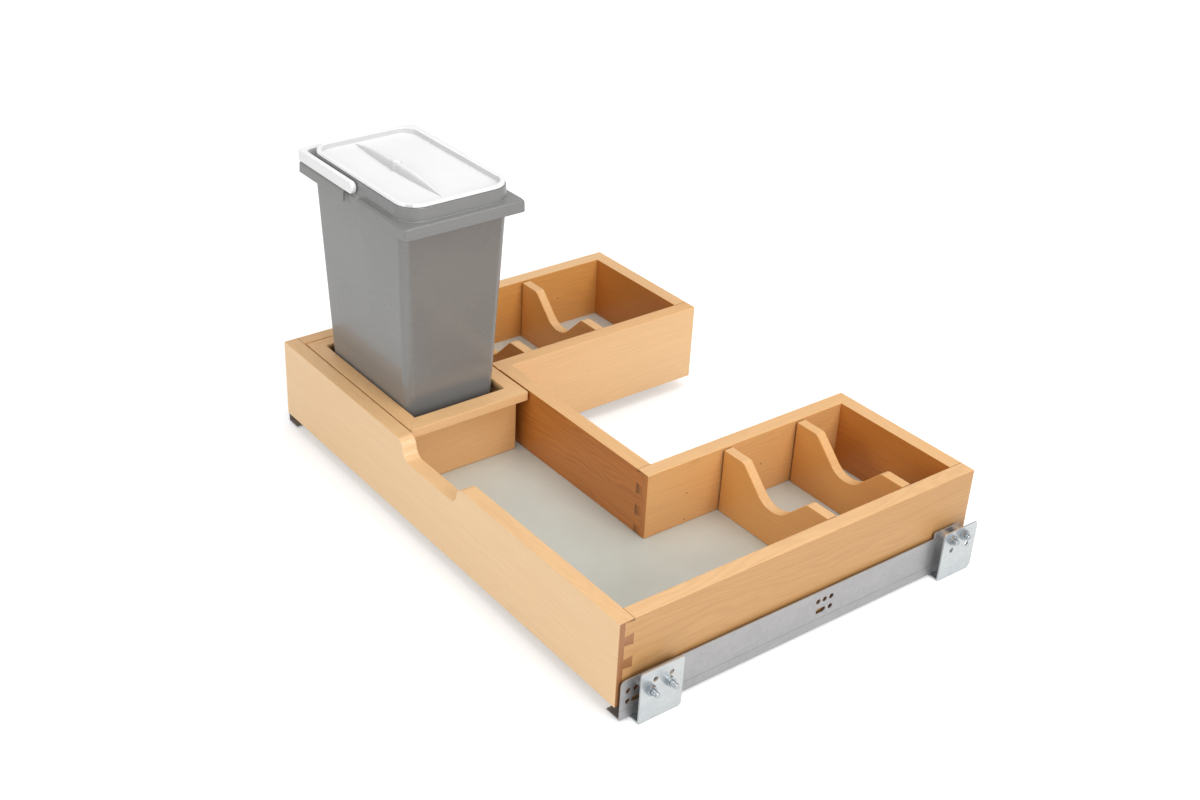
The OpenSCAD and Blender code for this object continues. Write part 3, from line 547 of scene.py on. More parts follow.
def new_piece(name: str, points: list, faces: list) -> Object:
    """Makes a mesh object from points in metres and faces.

    Args:
        name: The piece's name.
        points: Points in the shared frame.
        faces: Tuples of point numbers.

    Returns:
        The new object at the origin.
    """
    mesh = bpy.data.meshes.new(name)
    mesh.from_pydata([tuple(p) for p in points], [], faces)
    made = bpy.data.objects.new(name, mesh)
    bpy.context.scene.collection.objects.link(made)
    return made


def applied(piece: Object) -> Object:
    """Turns a piece's modifiers into plain mesh.

    Args:
        piece: The object with its modifiers.

    Returns:
        The same object without modifiers.
    """
    graph = bpy.context.evaluated_depsgraph_get()
    graph.update()
    mesh = bpy.data.meshes.new_from_object(piece.evaluated_get(graph), depsgraph=graph)
    mesh.name = piece.name
    old = piece.data
    piece.modifiers.clear()
    piece.data = mesh
    bpy.data.meshes.remove(old)
    return piece


def smoothed(piece: Object, angle: float = 40.0) -> Object:
    """Shades a piece smoothly up to an angle, with flat faces kept flat.

    Args:
        piece: The object.
        angle: Angle in degrees above which an edge stays sharp.

    Returns:
        The same object.
    """
    piece.data.shade_smooth()
    piece.data.set_sharp_from_angle(angle=math.radians(angle))
    modifier = piece.modifiers.new("flat_faces", "WEIGHTED_NORMAL")
    modifier.weight = 100
    modifier.keep_sharp = True
    return applied(piece)


def outer_edges(shape: bmesh.types.BMesh, least: float) -> list[bmesh.types.BMEdge]:
    """Finds the edges that stick out by more than an angle.

    Args:
        shape: The mesh, with its normals up to date.
        least: Smallest angle in degrees.

    Returns:
        The edges.
    """
    return [edge for edge in shape.edges if len(edge.link_faces) == 2
            and edge.calc_face_angle_signed(0.0) > math.radians(least)]


def rounded(piece: Object, choose: Callable[[bmesh.types.BMesh], list], radius: float,
            segments: int = 2) -> None:
    """Rounds chosen edges of a piece.

    Args:
        piece: The object.
        choose: Picks the edges from the piece's mesh.
        radius: Radius of the rounding in millimetres.
        segments: Number of faces across it.
    """
    shape = bmesh.new()
    shape.from_mesh(piece.data)
    shape.normal_update()
    bmesh.ops.bevel(shape, geom=choose(shape), offset=radius * MM, offset_type="OFFSET", segments=segments,
                    profile=0.5, affect="EDGES", clamp_overlap=True)
    shape.to_mesh(piece.data)
    shape.free()


def publish(piece: Object, body: str, slot: str, material: Material, *nodes: str) -> Object:
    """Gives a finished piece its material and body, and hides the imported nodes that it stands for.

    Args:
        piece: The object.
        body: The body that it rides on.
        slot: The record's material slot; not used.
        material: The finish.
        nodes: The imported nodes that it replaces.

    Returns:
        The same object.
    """
    piece.data.materials.clear()
    piece.data.materials.append(material)
    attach(piece, body)
    if nodes:
        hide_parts(*nodes)
    LOG.info("%s: %d faces on %s", piece.name, len(piece.data.polygons), body)
    return piece


def dress(node: str, material: Material) -> None:
    """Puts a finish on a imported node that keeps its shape."""
    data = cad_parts[node].data
    data.materials.clear()
    data.materials.append(material)
    LOG.info("%s: packed shape kept", node)


class Neighbours:
    """Tells whether a point lies in the wood of another board."""

    def __init__(self, nodes: list[str]) -> None:
        """Builds one search tree for each board.

        Args:
            nodes: The boards' node names.
        """
        self.boards = {}
        for node in nodes:
            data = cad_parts[node].data
            tree = BVHTree.FromPolygons([v.co.copy() for v in data.vertices],
                                        [tuple(p.vertices) for p in data.polygons])
            self.boards[node] = (tree, *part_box(node))

    def filled(self, point: Vector, skip: str) -> bool:
        """Counts crossings of a slanted line to tell whether another board holds the point.

        Args:
            point: The point in metres.
            skip: The board that is left out.

        Returns:
            True where another board holds the point.
        """
        ray = Vector((0.5377, 0.3172, 0.7813)).normalized()
        for node, (tree, low, high) in self.boards.items():
            if node == skip or any(point[i] < low[i] - 1e-4 or point[i] > high[i] + 1e-4 for i in range(3)):
                continue
            crossings = 0
            start = point.copy()
            while crossings < 200:
                hit = tree.ray_cast(start, ray)[0]
                if hit is None:
                    break
                crossings += 1
                start = hit + ray * 1e-6
            if crossings % 2:
                return True
        return False

    def free_edges(self, shape: bmesh.types.BMesh, node: str, least: float = 25.0,
                   reach: float = 0.3 * MM, shortest: float = 0.3 * MM) -> list[bmesh.types.BMEdge]:
        """Finds the outer edges of a board that no other board meets.

        Args:
            shape: The board's mesh.
            node: The board's node name.
            least: Smallest angle of an edge in degrees.
            reach: How far beside the edge the other boards are looked for.
            shortest: Edges below this length, round the wire holes, are left sharp.

        Returns:
            The free edges.
        """
        found = []
        for edge in shape.edges:
            if len(edge.link_faces) != 2 or edge.calc_face_angle_signed(0.0) < math.radians(least):
                continue
            if edge.calc_length() < shortest:
                continue
            first, second = (face.normal for face in edge.link_faces)
            start, end = (v.co for v in edge.verts)
            free = True
            for share in (0.08, 0.5, 0.92):
                point = start.lerp(end, share)
                for offset in (first - second, second - first, first + second):
                    if self.filled(point + offset * reach, node):
                        free = False
                        break
                if not free:
                    break
            if free:
                found.append(edge)
        return found


@dataclass(frozen=True)
class Board:
    """One wooden piece: its node, its fibres' direction, its depth of colour and its eased edges.

    The inside values are for the face that looks along inside; the deeper tone there is painted shade.
    The top value changes the tone of upward faces: painted shade above 0, painted light below 0. The
    darkening value paints shade on the other outward faces. The front end's tone is for a front end that
    shows in another board's face and is coloured like it, painted shade included.
    """

    node: str
    grain: Grain
    tone: float
    seed: int
    ease: float = 0.9
    inside: tuple[float, float, float] | None = None
    # The inside, top and darkening values and the front end's tone paint shade and light into the colour.
    inside_painted_shade: float = 0.0
    top_painted_shading: float = 0.32
    figure: float = 0.13
    inside_figure: float = 0.18
    dull: float = 0.0
    front_end_shaded_tone: float | None = None


class Joinery:
    """Eases the free edges of wooden pieces and gives them their board coordinates."""

    def __init__(self, boards: list[Board], palette: Palette) -> None:
        """Keeps the boards and their neighbours.

        Args:
            boards: All wooden pieces of the object.
            palette: The object's finishes.
        """
        self.boards = boards
        self.palette = palette
        self.neighbours = Neighbours([board.node for board in boards])

    def build(self, board: Board, body: str) -> Object:
        """Makes the finished piece of one board.

        Args:
            board: The board.
            body: The body that it rides on.

        Returns:
            The finished object.
        """
        piece = node_copy(board.node, "maple_" + board.node)
        rounded(piece, lambda shape: self.neighbours.free_edges(shape, board.node), board.ease)
        smoothed(piece, 50.0)
        self._coordinates(piece, board)
        return publish(piece, body, "maple", self.palette.maple, board.node)

    @staticmethod
    def _in_bore(corners: list[Vector]) -> bool:
        """Tells a wire hole's wall or bottom from the other faces by its size.

        Args:
            corners: The face's corners.

        Returns:
            True for a face inside a wire hole.
        """
        across, deep, high = (max(c) - min(c) for c in zip(*corners))
        is_wall = BORE_LENGTH[0] < across < BORE_LENGTH[1] and max(deep, high) < BORE_FACET
        is_bottom = (across < 0.1 * MM and BORE_WIDTH[0] < deep < BORE_WIDTH[1]
                     and abs(deep - high) < 0.3 * MM)
        return is_wall or is_bottom

    @classmethod
    def _coordinates(cls, piece: Object, board: Board) -> None:
        """Writes board coordinates, tone (painted shade and light included), figure, end grain and painted
        shade into the mesh.

        Args:
            piece: The finished mesh object.
            board: The board that it is.
        """
        dice = random.Random(board.seed)
        along = Vector(board.grain.value)
        rest = [Vector(g.value) for g in Grain if g is not board.grain]
        start = Vector([sum(c) / 2 for c in zip(*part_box(board.node))])
        shift = Vector((dice.uniform(-4.0, 4.0), dice.uniform(-0.05, 0.05), dice.uniform(0.02, 0.06)))
        turn = dice.choice((-1.0, 1.0))
        data = piece.data
        place = data.attributes.new("board", "FLOAT_VECTOR", "POINT")
        for vertex, value in zip(data.vertices, place.data):
            offset = vertex.co - start
            local = Vector((offset.dot(along) * turn, offset.dot(rest[0]), offset.dot(rest[1])))
            value.vector = local + shift
        tone = data.attributes.new("tone", "FLOAT", "FACE")
        figure = data.attributes.new("figure", "FLOAT", "FACE")
        end = data.attributes.new("end", "FLOAT", "FACE")
        dull = data.attributes.new("dull", "FLOAT", "FACE")
        inside = Vector(board.inside) if board.inside else None
        near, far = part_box(board.node)
        reach = abs((Vector(far) - Vector(near)).dot(along)) / 2 - END_REACH
        rows = zip(data.polygons, tone.data, figure.data, end.data, dull.data)
        for polygon, depth, lines, cut, grey in rows:
            faces_in = inside is not None and polygon.normal.dot(inside) > FACING
            # Painted shade: faces that look inside get a deeper tone.
            depth.value = board.tone + (board.inside_painted_shade if faces_in else 0.0)
            # Upward faces get painted shade, or painted light where the board's top value is below 0.
            depth.value += board.top_painted_shading if polygon.normal.z > UPWARD else 0.0
            lines.value = board.inside_figure if faces_in else board.figure
            at_end = abs((polygon.center - start).dot(along)) > reach
            cut.value = abs(polygon.normal.dot(along)) * (1.0 if at_end else CROSS_CUT)
            # A front end that shows in another board's face takes that face's deep tone, painted shade
            # included, and no end grain.
            if board.front_end_shaded_tone is not None and at_end and polygon.normal.y < -FACING:
                depth.value, cut.value = board.front_end_shaded_tone, 0.0
            # Painted shade on the outward faces that neither look inside nor up.
            grey.value = 0.0 if faces_in or polygon.normal.z > UPWARD else board.dull
            # Painted shade: the walls and bottoms of the wire holes are darkened towards black.
            if cls._in_bore([data.vertices[i].co for i in polygon.vertices]):
                grey.value = BORE_SHADE


@dataclass
class Drawer:
    """The dovetailed drawer with its floor, dividers, wires and the bin's holder."""

    palette: Palette
    body: str = "drawer"
    boards: list[Board] = field(default_factory=lambda: [
        # Tones below include painted shade on inside faces and painted shade or light on upward faces.
        Board("front_board", Grain.ACROSS, 0.05, 3, inside=(0, 1, 0), inside_painted_shade=0.6),
        Board("left_side_board", Grain.DEEP, 0.15, 5, inside=(1, 0, 0), inside_painted_shade=1.0, inside_figure=0.2),
        # The right side board and the holder's right wall get painted shade on their outward faces.
        Board("right_side_board", Grain.DEEP, 0.75, 8, inside=(-1, 0, 0), inside_painted_shade=0.8, top_painted_shading=-0.3,
              figure=0.22, dull=0.25),
        Board("left_arm_board", Grain.DEEP, 0.32, 11, inside=(-1, 0, 0), inside_painted_shade=0.8, front_end_shaded_tone=1.9),
        Board("right_arm_board", Grain.DEEP, 0.25, 14, inside=(1, 0, 0), inside_painted_shade=0.5, front_end_shaded_tone=1.9),
        Board("inner_back_board", Grain.ACROSS, 0.25, 17, inside=(0, -1, 0), inside_painted_shade=1.6,
              inside_figure=0.5),
        Board("left_rear_board", Grain.ACROSS, 0.20, 21, inside=(0, -1, 0), inside_painted_shade=1.6,
              inside_figure=0.25),
        Board("right_rear_board", Grain.ACROSS, 0.20, 24, inside=(0, -1, 0), inside_painted_shade=1.6,
              inside_figure=0.25),
        Board("left_front_divider", Grain.ACROSS, 1.00, 31, 1.2, top_painted_shading=-0.4),
        Board("left_rear_divider", Grain.ACROSS, 1.00, 34, 1.2, top_painted_shading=-0.4),
        Board("right_front_divider", Grain.ACROSS, 0.95, 37, 1.2, top_painted_shading=-0.4),
        Board("right_rear_divider", Grain.ACROSS, 1.10, 41, 1.2, top_painted_shading=-0.4),
        Board("holder_front_rail", Grain.ACROSS, 0.40, 44, 1.6, top_painted_shading=0.1),
        Board("holder_rear_rail", Grain.ACROSS, 0.45, 47, 1.6, top_painted_shading=0.1),
        Board("holder_left_rail_piece", Grain.DEEP, 0.45, 51, 1.6, top_painted_shading=0.1),
        Board("holder_right_rail_piece", Grain.DEEP, 0.40, 54, 1.6, top_painted_shading=0.1),
        Board("holder_front_wall", Grain.ACROSS, 0.6, 57, 1.5),
        Board("holder_rear_wall", Grain.ACROSS, 0.6, 61, 1.5),
        Board("holder_left_wall", Grain.DEEP, 0.6, 64, 1.5),
        Board("holder_right_wall", Grain.DEEP, 0.6, 67, 1.5, dull=0.12),
    ])

    def build(self) -> list[Object]:
        """Builds every wooden piece and dresses the floor and the wires.

        Returns:
            The wooden pieces.
        """
        joinery = Joinery(self.boards, self.palette)
        pieces = [joinery.build(board, self.body) for board in self.boards]
        dress("floor_panel", self.palette.laminate)
        dress("divider_wires", self.palette.steel)
        return pieces


@dataclass
class Fastenings:
    """The brackets' bolts and nuts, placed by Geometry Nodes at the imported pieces' places."""

    palette: Palette
    body: str = "mounting"
    shank: float = 3.0 * MM
    pitch: float = 1.0 * MM
    across_flats: float = 10.0 * MM
    nut_height: float = 5.0 * MM
    head_radius: float = 4.75 * MM
    thread_depth: float = 0.5 * MM
    head_thickness: float = 1.2 * MM
    rim_ease: float = 0.3 * MM
    rim_back: float = 0.2 * MM
    plain_shank: float = 1.0 * MM
    thread_root: tuple[float, float] = (0.45, 0.55)
    tip_length: float = 0.5 * MM
    tip_shoulder: float = 0.1 * MM
    tip_drop: float = 0.6 * MM
    bolt_faces: int = 20
    nut_faces: int = 24
    nut_chamfer: float = 0.45 * MM
    nut_worn: float = 0.93
    bore_play: float = 0.06 * MM
    bore_ease: float = 0.4 * MM

    def places(self, node: str) -> list[tuple[Vector, float, float]]:
        """Finds the separate solids of a node.

        Args:
            node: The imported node.

        Returns:
            Middle of each solid on its axis, with its lowest and highest X.
        """
        shape = bmesh.new()
        shape.from_mesh(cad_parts[node].data)
        bmesh.ops.remove_doubles(shape, verts=shape.verts, dist=WELD)
        seen: set = set()
        found = []
        for vertex in shape.verts:
            if vertex.index in seen:
                continue
            stack, island = [vertex], []
            seen.add(vertex.index)
            while stack:
                here = stack.pop()
                island.append(here.co.copy())
                for edge in here.link_edges:
                    other = edge.other_vert(here)
                    if other.index not in seen:
                        seen.add(other.index)
                        stack.append(other)
            low = Vector([min(c[i] for c in island) for i in range(3)])
            high = Vector([max(c[i] for c in island) for i in range(3)])
            found.append(((low + high) / 2, low.x, high.x))
        shape.free()
        return found

    def bolt(self, length: float, head: float) -> Object:
        """Models one flat-headed bolt along +X, whose head's outer face is at 0.

        Args:
            length: Length from the head's face to the stud's end.
            head: Thickness of the head.

        Returns:
            The bolt as a scratch object.
        """
        rim, ease = self.head_radius, self.rim_ease
        profile = [(0.0, 0.0), (0.0, rim - ease), (ease, rim), (head - self.rim_back, rim),
                   (head, rim - ease), (head, self.shank)]
        x = head + self.plain_shank
        profile.append((x, self.shank))
        root_start, root_end = (self.pitch * share for share in self.thread_root)
        while x + self.pitch < length - self.plain_shank:
            profile.append((x + root_start, self.shank - self.thread_depth))
            profile.append((x + root_end, self.shank - self.thread_depth))
            profile.append((x + self.pitch, self.shank))
            x += self.pitch
        profile += [(length - self.tip_length, self.shank - self.tip_shoulder),
                    (length, self.shank - self.tip_drop), (length, 0.0)]
        return self.turned("bolt_form", profile, self.bolt_faces)

    def turned(self, name: str, profile: list[tuple[float, float]], steps: int) -> Object:
        """Turns a profile about the X axis.

        Args:
            name: The object's name.
            profile: Pairs of X and radius, the first and last with radius 0.
            steps: Number of faces round the axis.

        Returns:
            The closed object.
        """
        points = [Vector((profile[0][0], 0.0, 0.0))]
        faces = []
        for x, radius in profile[1:-1]:
            for step in range(steps):
                angle = 2 * math.pi * step / steps
                points.append(Vector((x, radius * math.cos(angle), radius * math.sin(angle))))
        points.append(Vector((profile[-1][0], 0.0, 0.0)))
        rows = len(profile) - 2
        for step in range(steps):
            after = (step + 1) % steps
            faces.append((0, 1 + after, 1 + step))
            for row in range(rows - 1):
                a = 1 + row * steps
                faces.append((a + step, a + after, a + steps + after, a + steps + step))
            a = 1 + (rows - 1) * steps
            faces.append((a + step, a + after, len(points) - 1))
        return new_piece(name, points, faces)

    def nut(self) -> Object:
        """Models one hexagon nut along +X with chamfered corners and a threaded hole.

        Returns:
            The nut as a scratch object.
        """
        corner = self.across_flats / 2 / math.cos(math.radians(30))
        shape = bmesh.new()
        rings = []
        count, chamfer, worn = self.nut_faces, self.nut_chamfer, self.nut_worn
        for x, scale in ((0.0, worn), (chamfer, 1.0), (self.nut_height - chamfer, 1.0),
                         (self.nut_height, worn)):
            ring = []
            for step in range(count):
                angle = 2 * math.pi * step / count
                flat = self.across_flats / 2 / math.cos(((angle + math.pi / 6) % (math.pi / 3)) - math.pi / 6)
                radius = min(flat, corner) if scale == 1.0 else min(flat, corner * scale)
                ring.append(shape.verts.new((x, radius * math.cos(angle), radius * math.sin(angle))))
            rings.append(ring)
        inner = []
        bore, ease = self.shank + self.bore_play, self.bore_ease
        for x, radius in ((self.nut_height, bore + ease), (self.nut_height - ease, bore),
                          (ease, bore), (0.0, bore + ease)):
            inner.append([shape.verts.new((x, radius * math.cos(2 * math.pi * s / count),
                                           radius * math.sin(2 * math.pi * s / count)))
                          for s in range(count)])
        rings += inner
        for first, second in zip(rings, rings[1:] + rings[:1]):
            for step in range(count):
                after = (step + 1) % count
                shape.faces.new((first[step], first[after], second[after], second[step]))
        bmesh.ops.recalc_face_normals(shape, faces=shape.faces)
        mesh = bpy.data.meshes.new("nut_form")
        shape.to_mesh(mesh)
        shape.free()
        made = bpy.data.objects.new("nut_form", mesh)
        bpy.context.scene.collection.objects.link(made)
        return made

    def tree(self) -> NodeTree:
        """Builds the Geometry Nodes tree that sets one form at every point.

        Returns:
            The node tree, with the form and the material as named inputs.
        """
        tree = bpy.data.node_groups.new("set_fastener", "GeometryNodeTree")
        face = tree.interface
        face.new_socket(name="Geometry", in_out="INPUT", socket_type="NodeSocketGeometry")
        face.new_socket(name="Form", in_out="INPUT", socket_type="NodeSocketObject")
        face.new_socket(name="Finish", in_out="INPUT", socket_type="NodeSocketMaterial")
        face.new_socket(name="Geometry", in_out="OUTPUT", socket_type="NodeSocketGeometry")
        net = Net(tree)
        given = net.node("NodeGroupInput")
        out = net.node("NodeGroupOutput")
        info = net.node("GeometryNodeObjectInfo", transform_space="ORIGINAL")
        facing = net.node("GeometryNodeInputNamedAttribute", {"Name": "facing"}, data_type="FLOAT_VECTOR")
        turn = net.node("FunctionNodeEulerToRotation")
        setter = net.node("GeometryNodeInstanceOnPoints")
        realize = net.node("GeometryNodeRealizeInstances")
        paint = net.node("GeometryNodeSetMaterial")
        net.join(given.outputs["Form"], info.inputs["Object"])
        net.join(facing.outputs["Attribute"], turn.inputs["Euler"])
        net.join(given.outputs["Geometry"], setter.inputs["Points"])
        net.join(info.outputs["Geometry"], setter.inputs["Instance"])
        net.join(turn.outputs[0], setter.inputs["Rotation"])
        net.join(setter.outputs[0], realize.inputs[0])
        net.join(realize.outputs[0], paint.inputs["Geometry"])
        net.join(given.outputs["Finish"], paint.inputs["Material"])
        net.join(paint.outputs[0], out.inputs[0])
        return tree

    def spread(self, name: str, tree: NodeTree, form: Object, spots: list[tuple[Vector, float]]) -> Object:
        """Sets a form at several spots and turns the result into plain mesh.

        Args:
            name: The new object's name.
            tree: The Geometry Nodes tree.
            form: The form along +X.
            spots: Pairs of a place and the sign of X that the form points to.

        Returns:
            The plain mesh object.
        """
        piece = new_piece(name, [spot for spot, _ in spots], [])
        facing = piece.data.attributes.new("facing", "FLOAT_VECTOR", "POINT")
        for number, (value, (_, sign)) in enumerate(zip(facing.data, spots)):
            value.vector = (0.35 * number, 0.0, 0.0 if sign > 0 else math.pi)
        modifier = piece.modifiers.new("set", "NODES")
        modifier.node_group = tree
        sockets = {item.name: item.identifier for item in tree.interface.items_tree if item.in_out == "INPUT"}
        modifier[sockets["Form"]] = form
        modifier[sockets["Finish"]] = self.palette.bolt
        applied(piece)
        if piece.data.attributes.get("facing"):
            piece.data.attributes.remove(piece.data.attributes["facing"])
        bpy.data.objects.remove(form)
        return smoothed(piece, 35.0)

    def build(self) -> list[Object]:
        """Builds the bolts and the nuts, and dresses the spacers.

        Returns:
            The bolts' and the nuts' objects.
        """
        tree = self.tree()
        spots = self.places("bracket_bolts")
        groups: dict[float, list] = {}
        for middle, low, high in spots:
            sign = 1.0 if middle.x > 0 else -1.0
            start = low if sign > 0 else high
            groups.setdefault(round(high - low, 5), []).append((Vector((start, middle.y, middle.z)), sign))
        made = []
        for number, (length, group) in enumerate(sorted(groups.items())):
            form = self.bolt(length, self.head_thickness)
            made.append(self.spread(f"bolt_set_{number}", tree, form, group))
        bolts = made[0]
        if len(made) > 1:
            shape = bmesh.new()
            for part in made:
                shape.from_mesh(part.data)
            shape.to_mesh(bolts.data)
            shape.free()
            for part in made[1:]:
                bpy.data.objects.remove(part)
            smoothed(bolts, 35.0)
        bolts.name = "bracket_bolts_threaded"
        nut_spots = []
        for middle, low, high in self.places("bracket_nuts"):
            sign = 1.0 if middle.x > 0 else -1.0
            nut_spots.append((Vector((low if sign > 0 else high, middle.y, middle.z)), sign))
        nuts = self.spread("bracket_nuts_chamfered", tree, self.nut(), nut_spots)
        publish(bolts, self.body, "bracket_zinc", self.palette.bolt, "bracket_bolts")
        publish(nuts, self.body, "bracket_zinc", self.palette.bolt, "bracket_nuts")
        dress("bracket_spacers", self.palette.steel)
        return [bolts, nuts]


@dataclass
class SheetMetal:
    """Slides, brackets and locks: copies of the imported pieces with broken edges."""

    palette: Palette
    side: Side

    def eased(self, node: str, name: str, body: str, slot: str, material: Material, ease: float,
              least: float = 35.0) -> Object:
        """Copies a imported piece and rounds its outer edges.

        Args:
            node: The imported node.
            name: The piece's name.
            body: The body that it rides on.
            slot: The record's material slot.
            material: The finish.
            ease: Radius of the rounding in millimetres.
            least: Smallest angle of an edge that is rounded, in degrees.

        Returns:
            The finished object.
        """
        piece = node_copy(node, name)
        rounded(piece, lambda shape: outer_edges(shape, least), ease)
        smoothed(piece, 45.0)
        return publish(piece, body, slot, material, node)

    def build(self) -> list[Object]:
        """Builds one side's slide, brackets and lock.

        Returns:
            The finished objects.
        """
        side = self.side.name.lower()
        steel, bright = self.palette.steel, self.palette.bright
        housing, lever = self.palette.housing, self.palette.lever
        made = []
        for node, name, body, slot, finish, ease in (
                ("cabinet_rail", "cabinet_rail_sheet", "mounting", "plated_steel", steel, 0.3),
                ("middle_rail", "middle_rail_sheet", f"{side}_middle", "plated_steel", steel, 0.25),
                ("drawer_rail", "drawer_rail_sheet", "drawer", "plated_steel", steel, 0.25),
                ("front_bracket", "front_angle", "mounting", "bracket_zinc", bright, 0.45),
                ("rear_bracket", "rear_angle", "mounting", "bracket_zinc", bright, 0.45),
                ("lock_base", "lock_housing", "drawer", "lock_plastic", housing, 0.4),
                ("lock_lever", "release_lever", f"{side}_lever", "lever_plastic", lever, 0.5)):
            made.append(self.eased(f"{side}_{node}", f"{side}_{name}", body, slot, finish, ease))
        for node in ("lower_cage", "upper_cage", "lower_rollers", "upper_rollers"):
            dress(f"{side}_{node}", self.palette.nylon)
        return made


